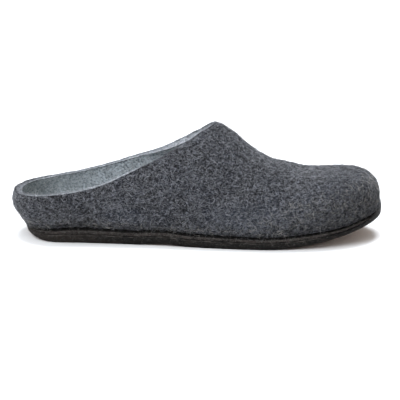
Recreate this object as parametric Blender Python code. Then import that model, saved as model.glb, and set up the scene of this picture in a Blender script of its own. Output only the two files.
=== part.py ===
"""Felt slipper for the right foot, standing empty on its sole.

A one-piece moulded wool felt upper stands on a felt midsole. A leather outsole is under the midsole, and a felt
insole lies inside the upper. The toe points along +X, the inner (medial) side faces +Y, and the tread is at z = 0.
Every shape is read from the driving dimensions and from the short tables of sections below.
"""

from typing import NamedTuple

import bpy
import numpy as np

# Driving dimensions, in metres
LENGTH = 0.2864
BALL_WIDTH = 0.1020
INSTEP_HEIGHT = 0.0882
HEEL_HEIGHT = 0.0348
FELT_WALL = 0.0055
HEEL_OVERHANG = 0.0120
TOE_SWING = 0.0035
TOE_SPRING = 0.0183
HEEL_CURL = 0.0042
ARCH_RISE = 0.0014
SOLE_THICKNESS = 0.0113
INSOLE_THICKNESS = 0.0045
GAP = 0.0003

# Places along the length, as shares of it, from the back of the heel
HEEL_PIVOT = 0.133
TOE_PIVOT = 0.692
HEEL_TREAD_START = 0.150
HEEL_TREAD_END = 0.335
BALL_TREAD_START = 0.490
BALL_TREAD_END = 0.685
COLLAR_TIP = 0.549
FELT_FRONT = 0.989
SWING_START = 0.45
TOE_LIP_RISE = (0.93, 1.0)
HEEL_LIP_RISE = (0.10, 0.055)

# Sole edges, in metres: how far each layer stands out past the foot of the felt
MIDSOLE_MARGIN = 0.0004
OUTSOLE_MARGIN = 0.0014
TOE_LIP_REACH = 0.0014
TOE_LIP_HEIGHT = 0.0039
HEEL_LIP_HEIGHT = 0.0012
LIP_DRAFT = 0.0002
EDGE_ROUND = 0.0010
TREAD_ROUND = 0.0012
INSOLE_CLEARANCE = 0.0006

# Shape of the plan and of the half sections
HEEL_ROUNDNESS = 2.02
TOE_ROUNDNESS = 2.30
FRONT_CROWN = 0.92
FRONT_SIDE = 0.86
WIDEST_SHARE = 0.72
TUCK_START = 0.45
TUCK_END = 0.34
SPRING_POWER = 1.75
CURL_POWER = 2.7
CURL_LIMIT = 1.2
FOOT_FLARE = 1.20
FOOT_TURN = 0.86
RIM_ROUND = 0.62

# Cut of the collar: how far below it the wall turns, and the upward part of the normal where it is square or level
CUT_REACH = 0.14
CUT_SQUARE = 0.90
CUT_LEVEL = 0.60

# Density of the faceted solids
UPPER_RAYS = 92
UPPER_ROWS = 13
ROW_CROWDING = 1.25
RIM_STEPS = 4
BODY_STATIONS = 22
FAN_STATIONS = 10

# Share of the sole's thickness that is midsole, and share of the midsole's own edge that is rounded at each face
MIDSOLE_SHARE = 0.42
MIDSOLE_SOFT = 0.2

# Plain colours and roughness of the materials
FELT_GREY = (0.070, 0.075, 0.088)
MIDSOLE_GREY = (0.030, 0.029, 0.030)
INSOLE_GREY = (0.200, 0.215, 0.240)
LEATHER_BROWN = (0.022, 0.015, 0.012)
FELT_ROUGHNESS = 0.95
LEATHER_ROUGHNESS = 0.60

# Flat pattern of the upper: its half width in metres, and the two ends of its spine in half widths
PATTERN_UNIT = 0.045
PATTERN_SPINE = (HEEL_PIVOT * LENGTH / PATTERN_UNIT, TOE_PIVOT * LENGTH / PATTERN_UNIT)
TIP_SETBACK = 0.15


class Section(NamedTuple):
    """Cross-section of the upper at one station.

    Heights are shares of the instep height and half widths are shares of the ball width. The crown and the side
    say how far the arc stays level over the ridge and how far it stays upright above the widest line.
    """

    station: float
    ridge: float
    widest: float
    lateral: float
    medial: float
    crown: float
    side: float


SECTIONS = (
    Section(station=0.00, ridge=0.79, widest=0.315, lateral=0.388, medial=0.384, crown=0.62, side=0.22),
    Section(station=0.13, ridge=0.79, widest=0.300, lateral=0.388, medial=0.384, crown=0.62, side=0.24),
    Section(station=0.22, ridge=0.79, widest=0.285, lateral=0.392, medial=0.382, crown=0.60, side=0.32),
    Section(station=0.33, ridge=0.80, widest=0.265, lateral=0.400, medial=0.376, crown=0.56, side=0.38),
    Section(station=0.42, ridge=0.85, widest=0.250, lateral=0.422, medial=0.380, crown=0.48, side=0.34),
    Section(station=0.49, ridge=0.93, widest=0.240, lateral=0.445, medial=0.400, crown=0.42, side=0.30),
    Section(station=0.55, ridge=0.995, widest=0.235, lateral=0.464, medial=0.426, crown=0.40, side=0.28),
    Section(station=0.60, ridge=0.905, widest=0.230, lateral=0.479, medial=0.452, crown=0.42, side=0.30),
    Section(station=0.64, ridge=0.795, widest=0.230, lateral=0.488, medial=0.470, crown=0.46, side=0.34),
    Section(station=0.69, ridge=0.685, widest=0.232, lateral=0.494, medial=0.484, crown=0.52, side=0.40),
    Section(station=0.75, ridge=0.615, widest=0.245, lateral=0.494, medial=0.486, crown=0.54, side=0.44),
    Section(station=0.815, ridge=0.580, widest=0.265, lateral=0.494, medial=0.486, crown=0.55, side=0.46),
    Section(station=0.87, ridge=0.595, widest=0.290, lateral=0.494, medial=0.486, crown=0.55, side=0.46),
    Section(station=0.94, ridge=0.620, widest=0.320, lateral=0.494, medial=0.486, crown=0.55, side=0.46),
    Section(station=1.00, ridge=0.615, widest=0.340, lateral=0.494, medial=0.486, crown=0.55, side=0.46),
)


class Foot(NamedTuple):
    """Foot of the felt at one station: its half widths as shares of the ball width."""

    station: float
    lateral: float
    medial: float


FOOT_LINE = (
    Foot(station=0.13, lateral=0.305, medial=0.305),
    Foot(station=0.24, lateral=0.316, medial=0.305),
    Foot(station=0.34, lateral=0.340, medial=0.294),
    Foot(station=0.44, lateral=0.378, medial=0.308),
    Foot(station=0.54, lateral=0.420, medial=0.362),
    Foot(station=0.62, lateral=0.446, medial=0.424),
    Foot(station=0.69, lateral=0.456, medial=0.450),
)


class Collar(NamedTuple):
    """Rise of the collar's two sides at one station, as shares of the way from heel height to instep height."""

    station: float
    lateral: float
    medial: float


COLLAR = (
    Collar(station=0.00, lateral=0.000, medial=0.000),
    Collar(station=0.05, lateral=0.024, medial=0.010),
    Collar(station=0.10, lateral=0.055, medial=0.034),
    Collar(station=0.18, lateral=0.112, medial=0.127),
    Collar(station=0.25, lateral=0.207, medial=0.240),
    Collar(station=0.33, lateral=0.385, medial=0.397),
    Collar(station=0.40, lateral=0.554, medial=0.554),
    Collar(station=0.46, lateral=0.726, medial=0.728),
    Collar(station=0.52, lateral=0.916, medial=0.920),
    Collar(station=0.56, lateral=1.033, medial=1.033),
    Collar(station=1.00, lateral=1.990, medial=1.990),
)


class Layer(NamedTuple):
    """Thickness of the whole sole at one station, as a share of its greatest thickness."""

    station: float
    thickness: float


SOLE_LAYERS = (
    Layer(station=0.04, thickness=0.26),
    Layer(station=0.06, thickness=0.52),
    Layer(station=0.09, thickness=0.75),
    Layer(station=0.14, thickness=0.94),
    Layer(station=0.33, thickness=0.92),
    Layer(station=0.50, thickness=0.88),
    Layer(station=0.64, thickness=0.79),
    Layer(station=0.80, thickness=0.73),
    Layer(station=0.90, thickness=0.54),
    Layer(station=1.00, thickness=0.47),
)


def column(table, name):
    """One column of a table as an array."""
    return np.array([getattr(row, name) for row in table])


def smooth(table, name, station):
    """A smooth curve through one column of a table, level at both ends and beyond them."""
    knots, values = column(table, "station"), column(table, name)
    slopes = np.gradient(values, knots)
    slopes[[0, -1]] = 0.0
    at = np.clip(station, knots[0], knots[-1])
    left = np.clip(np.searchsorted(knots, at, side="right") - 1, 0, len(knots) - 2)
    span = knots[left + 1] - knots[left]
    t = (at - knots[left]) / span
    rise = values[left + 1] - values[left]
    cubic = slopes[left] * span + slopes[left + 1] * span - 2.0 * rise
    square = 3.0 * rise - 2.0 * slopes[left] * span - slopes[left + 1] * span
    return values[left] + t * (slopes[left] * span + t * (square + t * cubic))


def ease(start, end, value):
    """Rises smoothly from 0 at start to 1 at end."""
    t = np.clip((value - start) / (end - start), 0.0, 1.0)
    return t * t * (3.0 - 2.0 * t)


def unit(vectors):
    """Each vector at length 1."""
    return vectors / np.linalg.norm(vectors, axis=-1, keepdims=True)


def bezier(a, b, c, d, t):
    """Cubic Bezier through a and d with handles b and c."""
    s = 1.0 - t
    return s**3 * a + 3.0 * s * s * t * b + 3.0 * s * t * t * c + t**3 * d


def tread(station):
    """Height of the sole's underside: flat at heel and ball, raised at the arch, turned up at both ends."""
    end = column(SOLE_LAYERS, "station")[0]
    curl = np.clip((HEEL_TREAD_START - station) / (HEEL_TREAD_START - end), 0.0, CURL_LIMIT)
    spring = np.clip((station - BALL_TREAD_END) / (1.0 - BALL_TREAD_END), 0.0, 1.0)
    arch = np.clip((station - HEEL_TREAD_END) / (BALL_TREAD_START - HEEL_TREAD_END), 0.0, 1.0)
    turned_up = HEEL_CURL * curl**CURL_POWER + TOE_SPRING * spring**SPRING_POWER
    return turned_up + ARCH_RISE * np.sin(np.pi * arch) ** 2


def sole_top(station):
    """Height of the midsole's upper face."""
    return tread(station) + SOLE_THICKNESS * smooth(SOLE_LAYERS, "thickness", station)


def outsole_top(station):
    """Height of the outsole's upper face, under the midsole."""
    full = SOLE_THICKNESS * smooth(SOLE_LAYERS, "thickness", station)
    return tread(station) + (1.0 - MIDSOLE_SHARE) * full


def midsole_height(station, share):
    """Height inside the midsole, at a share of the way from its lower to its upper face."""
    lower = outsole_top(station) + GAP
    return lower + (sole_top(station) - lower) * share


def felt_radius(forward, sideways, nearest):
    """Distance from the spine to the widest line of the felt, in a direction given by its cosine and sine."""
    half = np.where(
        sideways < 0.0, smooth(SECTIONS, "lateral", nearest), smooth(SECTIONS, "medial", nearest)
    )
    reach = np.where(forward < 0.0, HEEL_PIVOT, FELT_FRONT - TOE_PIVOT) * LENGTH
    return fan(forward, sideways, reach, half * BALL_WIDTH)


def foot_radius(forward, sideways, nearest):
    """Distance from the spine to the foot of the felt, where it stands on the midsole."""
    half = np.where(
        sideways < 0.0, smooth(FOOT_LINE, "lateral", nearest), smooth(FOOT_LINE, "medial", nearest)
    )
    reach = np.where(forward < 0.0, HEEL_PIVOT * LENGTH - HEEL_OVERHANG, foot_reach())
    return fan(forward, sideways, reach, half * BALL_WIDTH)


def foot_reach():
    """Distance from the toe pivot to the front of the felt's foot."""
    return (1.0 - TOE_PIVOT) * LENGTH - OUTSOLE_MARGIN - TOE_LIP_REACH


def fan(forward, sideways, reach, half):
    """Radius of a superellipse with the given reach along the shoe and half width across it."""
    power = np.where(forward < 0.0, HEEL_ROUNDNESS, TOE_ROUNDNESS)
    return (np.abs(forward / reach) ** power + np.abs(sideways / half) ** power) ** (-1.0 / power)


def swing(station):
    """Sideways curve of the plan: the toe leans to the medial side."""
    return TOE_SWING * np.clip((station - SWING_START) / (1.0 - SWING_START), 0.0, 1.0) ** 2


def felt_surface(along, across):
    """Outer face of the upper over its flat pattern.

    The pattern is a stadium round the spine from the heel pivot to the toe pivot. The distance from the spine runs
    from 0 at the ridge to 1 at the felt's foot, and the direction from the nearest point of the spine gives the
    plane of the half section. Both arguments are in pattern units, in which the stadium's half width is 1.
    """
    nearest_along = np.clip(along, *PATTERN_SPINE)
    ahead = along - nearest_along
    distance = np.maximum(np.hypot(ahead, across), 1e-9)
    forward, sideways = ahead / distance, across / distance
    forward = np.where(distance < 1e-8, 0.0, forward)
    sideways = np.where(distance < 1e-8, 1.0, sideways)
    nearest = nearest_along * PATTERN_UNIT / LENGTH
    level = np.minimum(distance, 1.0)

    wide = felt_radius(forward, sideways, nearest)
    foot = foot_radius(forward, sideways, nearest)
    front = np.clip(forward, 0.0, 1.0) ** 2
    crown = smooth(SECTIONS, "crown", nearest) * (1.0 - front) + FRONT_CROWN * front
    side = smooth(SECTIONS, "side", nearest) * (1.0 - front) + FRONT_SIDE * front

    over = np.clip(level / WIDEST_SHARE, 0.0, 1.0)
    under = np.clip((level - WIDEST_SHARE) / (1.0 - WIDEST_SHARE), 0.0, 1.0)
    edge_station = nearest + wide * forward / LENGTH
    drop = INSTEP_HEIGHT * smooth(SECTIONS, "widest", edge_station) - sole_top(edge_station)
    handle = TUCK_END * drop
    reach = np.where(
        level < WIDEST_SHARE,
        wide * bezier(0.0, crown, 1.0, 1.0, over),
        bezier(wide, wide, foot + handle, foot, under),
    )
    x = nearest * LENGTH + reach * forward
    station = x / LENGTH
    widest = INSTEP_HEIGHT * smooth(SECTIONS, "widest", station)
    ridge = INSTEP_HEIGHT * smooth(SECTIONS, "ridge", station)
    floor = sole_top(station) + GAP
    fall = widest - floor
    height = np.where(
        level < WIDEST_SHARE,
        widest + (ridge - widest) * bezier(1.0, 1.0, side, 0.0, over),
        bezier(widest, widest - TUCK_START * fall, floor + TUCK_END * fall, floor, under),
    )
    return np.stack([x, reach * sideways + swing(station), height], axis=-1)


def felt_normal(along, across):
    """Outward unit normal of the upper's outer face."""
    step = 1e-3
    nearest = np.clip(along, *PATTERN_SPINE)
    ahead = along - nearest
    shrink = np.minimum(1.0, (1.0 - 2.0 * step) / np.maximum(np.hypot(ahead, across), 1e-9))
    along, across = nearest + ahead * shrink, across * shrink
    east = felt_surface(along + step, across) - felt_surface(along - step, across)
    north = felt_surface(along, across + step) - felt_surface(along, across - step)
    return unit(np.cross(east, north))


def collar_gap(along, across):
    """Height of the outer face above the collar's cut: positive where the opening is."""
    point = felt_surface(along, across)
    station = point[..., 0] / LENGTH
    rise = np.where(across < 0.0, smooth(COLLAR, "lateral", station), smooth(COLLAR, "medial", station))
    return point[..., 2] - HEEL_HEIGHT - (INSTEP_HEIGHT - HEEL_HEIGHT) * rise


def pattern_rays(count):
    """Start of each ray on the spine and its end on the pattern's edge, going round from the heel."""
    heel, toe = PATTERN_SPINE
    quarter = 0.5 * np.pi
    half = 2.0 * quarter + toe - heel
    way = np.linspace(-half, half, count, endpoint=False)
    side, way = np.where(way < 0.0, -1.0, 1.0), half - np.abs(way)
    heel_turn = np.clip(way, 0.0, quarter)
    toe_turn = np.clip(way - quarter - toe + heel, 0.0, quarter)
    run = np.clip(way - quarter, 0.0, toe - heel)
    ends = np.stack(
        [heel + run - np.cos(heel_turn) + np.sin(toe_turn), side * np.sin(heel_turn) * np.cos(toe_turn)], axis=-1
    )
    tip = COLLAR_TIP * LENGTH / PATTERN_UNIT
    share = np.clip((way - quarter) / (half - quarter), 0.0, 1.0)
    starts = np.stack([heel + (tip - TIP_SETBACK - heel) * share, np.zeros(count)], axis=-1)
    return starts, ends


def collar_line(starts, ends):
    """Where each ray crosses the collar, found by halving."""
    low, high = np.zeros(len(starts)), np.ones(len(starts))
    for _ in range(40):
        middle = 0.5 * (low + high)
        point = starts + (ends - starts) * middle[:, None]
        inside = collar_gap(point[:, 0], point[:, 1]) > 0.0
        low, high = np.where(inside, middle, low), np.where(inside, high, middle)
    return starts + (ends - starts) * high[:, None]


def upper_rows():
    """Rows of points of the upper: down its outer face, then up its inner face and over the rim.

    The wall is square to the outer face. It turns level at the foot, so that the felt stands upright there, and at
    the collar wherever the wall is steep, so that the collar is cut level.
    """
    starts, ends = pattern_rays(UPPER_RAYS)
    rim = collar_line(starts, ends)
    shares = 1.0 - (1.0 - np.linspace(0.0, 1.0, UPPER_ROWS + 1)[:, None, None]) ** ROW_CROWDING
    pattern = rim + (ends - rim) * shares
    outer = felt_surface(pattern[..., 0], pattern[..., 1])
    normal = felt_normal(pattern[..., 0], pattern[..., 1])

    nearest = np.clip(pattern[..., 0], *PATTERN_SPINE)
    level = np.hypot(pattern[..., 0] - nearest, pattern[..., 1])[..., None]
    foot = ease(FOOT_TURN, 1.0, level)
    near_rim = ease(CUT_REACH, 0.0, level - level[0])
    flat = np.maximum(foot, near_rim * ease(CUT_SQUARE, CUT_LEVEL, normal[..., 2:]))
    inward = unit(np.concatenate([normal[..., :2], normal[..., 2:] * (1.0 - flat)], axis=-1))
    lean = (inward * normal).sum(axis=-1, keepdims=True)
    through = 1.0 + (FOOT_FLARE - 1.0) * foot + near_rim * (1.0 / lean - 1.0)
    inner = outer - inward * FELT_WALL * through
    inner[-1, :, 2] = sole_top(inner[-1, :, 0] / LENGTH) + GAP

    along_rim = np.roll(outer[0], -1, axis=0) - np.roll(outer[0], 1, axis=0)
    middle = 0.5 * (outer[0] + inner[0])
    spread = 0.5 * (outer[0] - inner[0])
    upward = unit(np.cross(along_rim, spread))
    turns = np.linspace(np.pi, 0.0, RIM_STEPS + 2)[1:-1, None, None]
    rim_rows = middle + spread * np.cos(turns) + upward * 0.5 * FELT_WALL * RIM_ROUND * np.sin(turns)
    return np.concatenate([outer, inner[::-1], rim_rows])


def ring_mesh(name, rows, colour, roughness):
    """Closed body from rings that follow each other round a tube."""
    count, around = rows.shape[:2]
    a = np.arange(count)[:, None] * around + np.arange(around)
    b = np.roll(a, -1, axis=1)
    faces = np.stack([a, np.roll(a, -1, axis=0), np.roll(b, -1, axis=0), b], axis=-1)
    return add_object(name, rows.reshape(-1, 3), faces.reshape(-1, 4).tolist(), colour, roughness)


def half_widths(station, margin, side):
    """Half width of the sole at a station, with a margin round the foot of the felt."""
    table_side = "lateral" if side < 0.0 else "medial"
    half = BALL_WIDTH * smooth(FOOT_LINE, table_side, np.clip(station, HEEL_PIVOT, TOE_PIVOT)) + margin
    back = (HEEL_PIVOT - station) * LENGTH / (HEEL_PIVOT * LENGTH - HEEL_OVERHANG + margin)
    front = (station - TOE_PIVOT) * LENGTH / (foot_reach() + margin)
    heel = np.clip(1.0 - np.clip(back, 0.0, 1.0) ** HEEL_ROUNDNESS, 0.0, 1.0) ** (1.0 / HEEL_ROUNDNESS)
    toe = np.clip(1.0 - np.clip(front, 0.0, 1.0) ** TOE_ROUNDNESS, 0.0, 1.0) ** (1.0 / TOE_ROUNDNESS)
    return half * heel * toe


def sole_stations(margin):
    """Stations of the sole's outline, closer together where it turns round the heel and the toe."""
    turn = np.linspace(0.0, 0.5 * np.pi, FAN_STATIONS + 1)
    back = HEEL_PIVOT * LENGTH - HEEL_OVERHANG + margin
    front = foot_reach() + margin
    heel = HEEL_PIVOT * LENGTH - back * np.cos(turn) ** (2.0 / HEEL_ROUNDNESS)
    toe = TOE_PIVOT * LENGTH + front * np.sin(turn) ** (2.0 / TOE_ROUNDNESS)
    body = np.linspace(HEEL_PIVOT, TOE_PIVOT, BODY_STATIONS + 1) * LENGTH
    return np.concatenate([heel[:-1], body, toe[1:]]) / LENGTH


def sole_loop(margin, height):
    """Outline at a margin round the felt's foot, from the heel along the lateral side and back."""
    station = sole_stations(margin)
    lateral = -half_widths(station, margin, -1.0)
    medial = half_widths(station, margin, 1.0)
    station = np.concatenate([station, station[-2:0:-1]])
    across = np.concatenate([lateral, medial[-2:0:-1]])
    return np.stack([station * LENGTH, across + swing(station), height(station)], axis=-1)


def plate(name, loops, colour, roughness):
    """Closed plate from its top loop, edge loops and bottom loop, with level strips across top and bottom."""
    rows = np.stack([sole_loop(margin, height) for margin, height in loops])
    count, around = rows.shape[:2]
    a = np.arange(count)[:, None] * around + np.arange(around)
    b = np.roll(a, -1, axis=1)
    faces = np.stack([a[:-1], a[1:], b[1:], b[:-1]], axis=-1).reshape(-1, 4).tolist()
    half = around // 2
    for row, up in ((0, True), (count - 1, False)):
        lateral = row * around + np.arange(half + 1)
        medial = row * around + (around - np.arange(half + 1)) % around
        for i in range(half):
            strip = [lateral[i], lateral[i + 1], medial[i + 1], medial[i]]
            strip = [int(v) for k, v in enumerate(strip) if v not in strip[:k]]
            faces.append(strip if up else strip[::-1])
    return add_object(name, rows.reshape(-1, 3), faces, colour, roughness)


def add_object(name, points, faces, colour, roughness):
    """Mesh object with its own material, moved so that the slipper's middle is at x = y = 0."""
    mesh = bpy.data.meshes.new(name)
    mesh.from_pydata((points - MIDDLE).tolist(), [], faces)
    mesh.validate()
    mesh.shade_smooth()
    mesh.set_sharp_from_angle(angle=np.radians(50.0))
    material = bpy.data.materials.new(name)
    material.use_nodes = True
    shader = material.node_tree.nodes["Principled BSDF"]
    shader.inputs["Base Color"].default_value = (*colour, 1.0)
    shader.inputs["Roughness"].default_value = roughness
    mesh.materials.append(material)
    piece = bpy.data.objects.new(name, mesh)
    bpy.context.collection.objects.link(piece)
    return piece


def lip(station):
    """Height by which the outsole's edge stands up round the midsole, at the toe and at the back of the heel."""
    return TOE_LIP_HEIGHT * ease(*TOE_LIP_RISE, station) + HEEL_LIP_HEIGHT * ease(*HEEL_LIP_RISE, station)


def outsole_loops():
    """Loops of the leather outsole, from the seat of the midsole over the edge and under the tread."""
    inner = MIDSOLE_MARGIN + GAP
    outer = OUTSOLE_MARGIN
    return (
        (inner, outsole_top),
        (inner + LIP_DRAFT, lambda s: outsole_top(s) + lip(s)),
        (outer - 0.4 * EDGE_ROUND, lambda s: outsole_top(s) + lip(s)),
        (outer, lambda s: outsole_top(s) + lip(s) - EDGE_ROUND),
        (outer, lambda s: tread(s) + TREAD_ROUND),
        (outer - 0.3 * TREAD_ROUND, lambda s: tread(s) + 0.3 * TREAD_ROUND),
        (outer - TREAD_ROUND, tread),
    )


def midsole_loops():
    """Loops of the felt midsole, with a softly rounded edge."""
    edge = MIDSOLE_MARGIN
    return (
        (edge - EDGE_ROUND, sole_top),
        (edge, lambda s: midsole_height(s, 1.0 - MIDSOLE_SOFT)),
        (edge, lambda s: midsole_height(s, MIDSOLE_SOFT)),
        (edge - 0.5 * EDGE_ROUND, lambda s: midsole_height(s, 0.0)),
    )


def insole_loops():
    """Loops of the felt insole that lies on the midsole inside the upper."""
    edge = -FELT_WALL * FOOT_FLARE - INSOLE_CLEARANCE
    return (
        (edge - EDGE_ROUND, lambda s: sole_top(s) + GAP + INSOLE_THICKNESS),
        (edge, lambda s: sole_top(s) + GAP + INSOLE_THICKNESS - EDGE_ROUND),
        (edge, lambda s: sole_top(s) + GAP),
    )


def bounds_middle(point_sets):
    """Middle of the bounding box of all the points in plan, on the floor."""
    low = np.min([points.reshape(-1, 3).min(axis=0) for points in point_sets], axis=0)
    high = np.max([points.reshape(-1, 3).max(axis=0) for points in point_sets], axis=0)
    return 0.5 * (low + high) * [1.0, 1.0, 0.0]


for old in list(bpy.data.objects):
    bpy.data.objects.remove(old, do_unlink=True)

UPPER_POINTS = upper_rows()
MIDDLE = bounds_middle([UPPER_POINTS] + [sole_loop(margin, height) for margin, height in outsole_loops()])

ring_mesh("upper", UPPER_POINTS, FELT_GREY, FELT_ROUGHNESS)
plate("midsole", midsole_loops(), MIDSOLE_GREY, FELT_ROUGHNESS)
plate("outsole", outsole_loops(), LEATHER_BROWN, LEATHER_ROUGHNESS)
plate("insole", insole_loops(), INSOLE_GREY, FELT_ROUGHNESS)
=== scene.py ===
"""Looks of the felt slipper: every surface that shows, worked out from the shape of its last.

The slipper is a right shoe that stands empty on its sole, with the toe along +X and the inner side facing +Y.
Each layer is one closed surface on the same named sizes as the solids, with the finish of the real material:
grey melange wool felt, dense dark felt, and black-edged leather with a brown suede tread.
"""

import logging
from dataclasses import dataclass
from enum import Enum
from typing import Callable, Mapping, NamedTuple, Sequence

import bpy
import numpy as np
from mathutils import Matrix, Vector


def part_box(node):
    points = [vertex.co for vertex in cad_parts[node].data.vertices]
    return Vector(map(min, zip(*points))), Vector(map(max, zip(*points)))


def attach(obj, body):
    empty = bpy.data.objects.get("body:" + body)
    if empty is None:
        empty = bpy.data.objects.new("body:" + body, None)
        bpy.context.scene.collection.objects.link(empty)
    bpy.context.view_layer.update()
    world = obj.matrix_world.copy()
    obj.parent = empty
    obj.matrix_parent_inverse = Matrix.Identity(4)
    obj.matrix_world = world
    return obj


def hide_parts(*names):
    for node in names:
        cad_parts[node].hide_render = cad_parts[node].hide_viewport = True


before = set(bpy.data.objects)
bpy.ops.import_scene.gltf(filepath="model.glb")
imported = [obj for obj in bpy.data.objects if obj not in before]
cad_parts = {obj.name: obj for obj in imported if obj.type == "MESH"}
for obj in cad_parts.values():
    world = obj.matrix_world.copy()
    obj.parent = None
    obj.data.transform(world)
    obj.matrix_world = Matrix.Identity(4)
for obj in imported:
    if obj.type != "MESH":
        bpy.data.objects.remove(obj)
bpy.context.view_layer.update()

LOG = logging.getLogger("felt_slipper")
MM = 0.001

Array = np.ndarray
Colour = tuple[float, float, float]
Point = tuple[float, float, float]
Pair = tuple[float, float]
Height = Callable[[Array], Array]
Loop = tuple[float, Height]
Socket = bpy.types.NodeSocket
Material = bpy.types.Material


class Section(NamedTuple):
    """Cross-section of the upper at one station.

    Heights are shares of the instep height and half widths are shares of the ball width. The crown says how
    far the arc stays level over the ridge, and the side how far it stays upright above the widest line.
    """

    station: float
    ridge: float
    widest: float
    lateral: float
    medial: float
    crown: float
    side: float


SECTIONS = (
    Section(0.00, 0.79, 0.315, 0.388, 0.384, 0.62, 0.22),
    Section(0.13, 0.79, 0.300, 0.388, 0.384, 0.62, 0.24),
    Section(0.22, 0.79, 0.285, 0.392, 0.382, 0.60, 0.32),
    Section(0.33, 0.80, 0.265, 0.400, 0.376, 0.56, 0.38),
    Section(0.42, 0.85, 0.250, 0.422, 0.380, 0.48, 0.34),
    Section(0.49, 0.93, 0.240, 0.445, 0.400, 0.42, 0.30),
    Section(0.55, 0.995, 0.235, 0.464, 0.426, 0.40, 0.28),
    Section(0.60, 0.905, 0.230, 0.479, 0.452, 0.42, 0.30),
    Section(0.64, 0.795, 0.230, 0.488, 0.470, 0.46, 0.34),
    Section(0.69, 0.685, 0.232, 0.494, 0.484, 0.52, 0.40),
    Section(0.75, 0.615, 0.245, 0.494, 0.486, 0.54, 0.44),
    Section(0.815, 0.580, 0.265, 0.494, 0.486, 0.55, 0.46),
    Section(0.87, 0.595, 0.290, 0.494, 0.486, 0.55, 0.46),
    Section(0.94, 0.620, 0.320, 0.494, 0.486, 0.55, 0.46),
    Section(1.00, 0.615, 0.340, 0.494, 0.486, 0.55, 0.46),
)


class Foot(NamedTuple):
    """Foot of the felt at one station: its half widths as shares of the ball width."""

    station: float
    lateral: float
    medial: float


FOOT_LINE = (
    Foot(0.13, 0.305, 0.305),
    Foot(0.24, 0.316, 0.305),
    Foot(0.34, 0.340, 0.294),
    Foot(0.44, 0.378, 0.308),
    Foot(0.54, 0.420, 0.362),
    Foot(0.62, 0.446, 0.424),
    Foot(0.69, 0.456, 0.450),
)


class Collar(NamedTuple):
    """Rise of the collar's sides at one station, as shares of the way from heel height to instep height."""

    station: float
    lateral: float
    medial: float


COLLAR = (
    Collar(0.00, 0.000, 0.000),
    Collar(0.05, 0.024, 0.010),
    Collar(0.10, 0.055, 0.034),
    Collar(0.18, 0.112, 0.127),
    Collar(0.25, 0.207, 0.240),
    Collar(0.33, 0.385, 0.397),
    Collar(0.40, 0.554, 0.554),
    Collar(0.46, 0.726, 0.728),
    Collar(0.52, 0.916, 0.920),
    Collar(0.56, 1.033, 1.033),
    Collar(1.00, 1.990, 1.990),
)


class Layer(NamedTuple):
    """Thickness of the whole sole at one station, as a share of its greatest thickness."""

    station: float
    thickness: float


SOLE_LAYERS = (
    Layer(0.04, 0.26),
    Layer(0.06, 0.52),
    Layer(0.09, 0.75),
    Layer(0.14, 0.94),
    Layer(0.33, 0.92),
    Layer(0.50, 0.88),
    Layer(0.64, 0.79),
    Layer(0.80, 0.73),
    Layer(0.90, 0.54),
    Layer(1.00, 0.47),
)


def column(table: Sequence[NamedTuple], name: str) -> Array:
    """One column of a table as an array."""
    return np.array([getattr(row, name) for row in table])


def smooth(table: Sequence[NamedTuple], name: str, station: Array) -> Array:
    """Reads a smooth curve through one column of a table.

    Between two rows it is the cubic with the rows' values and with slopes taken from their neighbours. It is
    level at both ends and beyond them.

    Args:
        table: Rows with a station each.
        name: The column to read.
        station: Places along the shoe, as shares of its length.

    Returns:
        The column's value at each place.
    """
    knots, values = column(table, "station"), column(table, name)
    slopes = np.gradient(values, knots)
    slopes[[0, -1]] = 0.0
    at = np.clip(station, knots[0], knots[-1])
    left = np.clip(np.searchsorted(knots, at, side="right") - 1, 0, len(knots) - 2)
    span = knots[left + 1] - knots[left]
    t = (at - knots[left]) / span
    rise = values[left + 1] - values[left]
    cubic = slopes[left] * span + slopes[left + 1] * span - 2.0 * rise
    square = 3.0 * rise - 2.0 * slopes[left] * span - slopes[left + 1] * span
    return values[left] + t * (slopes[left] * span + t * (square + t * cubic))


def by_side(table: Sequence[NamedTuple], across: Array, station: Array) -> Array:
    """Reads a table's lateral column where across is below 0, and its medial column elsewhere."""
    return np.where(across < 0.0, smooth(table, "lateral", station), smooth(table, "medial", station))


def ease(start: float, end: float, value: Array) -> Array:
    """Rises smoothly from 0 at start to 1 at end: 3t² − 2t³ of the share t of the way."""
    t = np.clip((value - start) / (end - start), 0.0, 1.0)
    return t * t * (3.0 - 2.0 * t)


def bezier(a: Array, b: Array, c: Array, d: Array, t: Array) -> Array:
    """Cubic Bezier through a and d with handles b and c."""
    s = 1.0 - t
    return s**3 * a + 3.0 * s * s * t * b + 3.0 * s * t * t * c + t**3 * d


def unit(vectors: Array) -> Array:
    """Each vector at length 1."""
    return vectors / np.maximum(np.linalg.norm(vectors, axis=-1, keepdims=True), 1e-12)


def waves(points: Array, shortest: float, longest: float, count: int, seed: int) -> Array:
    """Soft irregular relief: the mean of sine waves in random directions, scaled to about −1 to 1.

    Args:
        points: Places in metres, with x, y, z last.
        shortest: Shortest wavelength in metres.
        longest: Longest wavelength in metres.
        count: Number of waves.
        seed: Seed of their directions and phases.

    Returns:
        One value for each place.
    """
    random = np.random.default_rng(seed)
    direction = unit(random.normal(size=(count, 3)))
    length = np.exp(random.uniform(np.log(shortest), np.log(longest), count))
    phase = random.uniform(0.0, 2.0 * np.pi, count)
    swings = np.sin(points @ (direction * (2.0 * np.pi / length[:, None])).T + phase)
    return swings.sum(axis=-1) * (1.3 / np.sqrt(count))


class Ripple(NamedTuple):
    """Soft waves in a face: their height, shortest and longest wavelength in metres, number and seed."""

    height: float
    shortest: float
    longest: float
    count: int
    seed: int

    def over(self, points: Array) -> Array:
        """Height of the waves at each place."""
        return self.height * waves(points, *self[1:])


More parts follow.
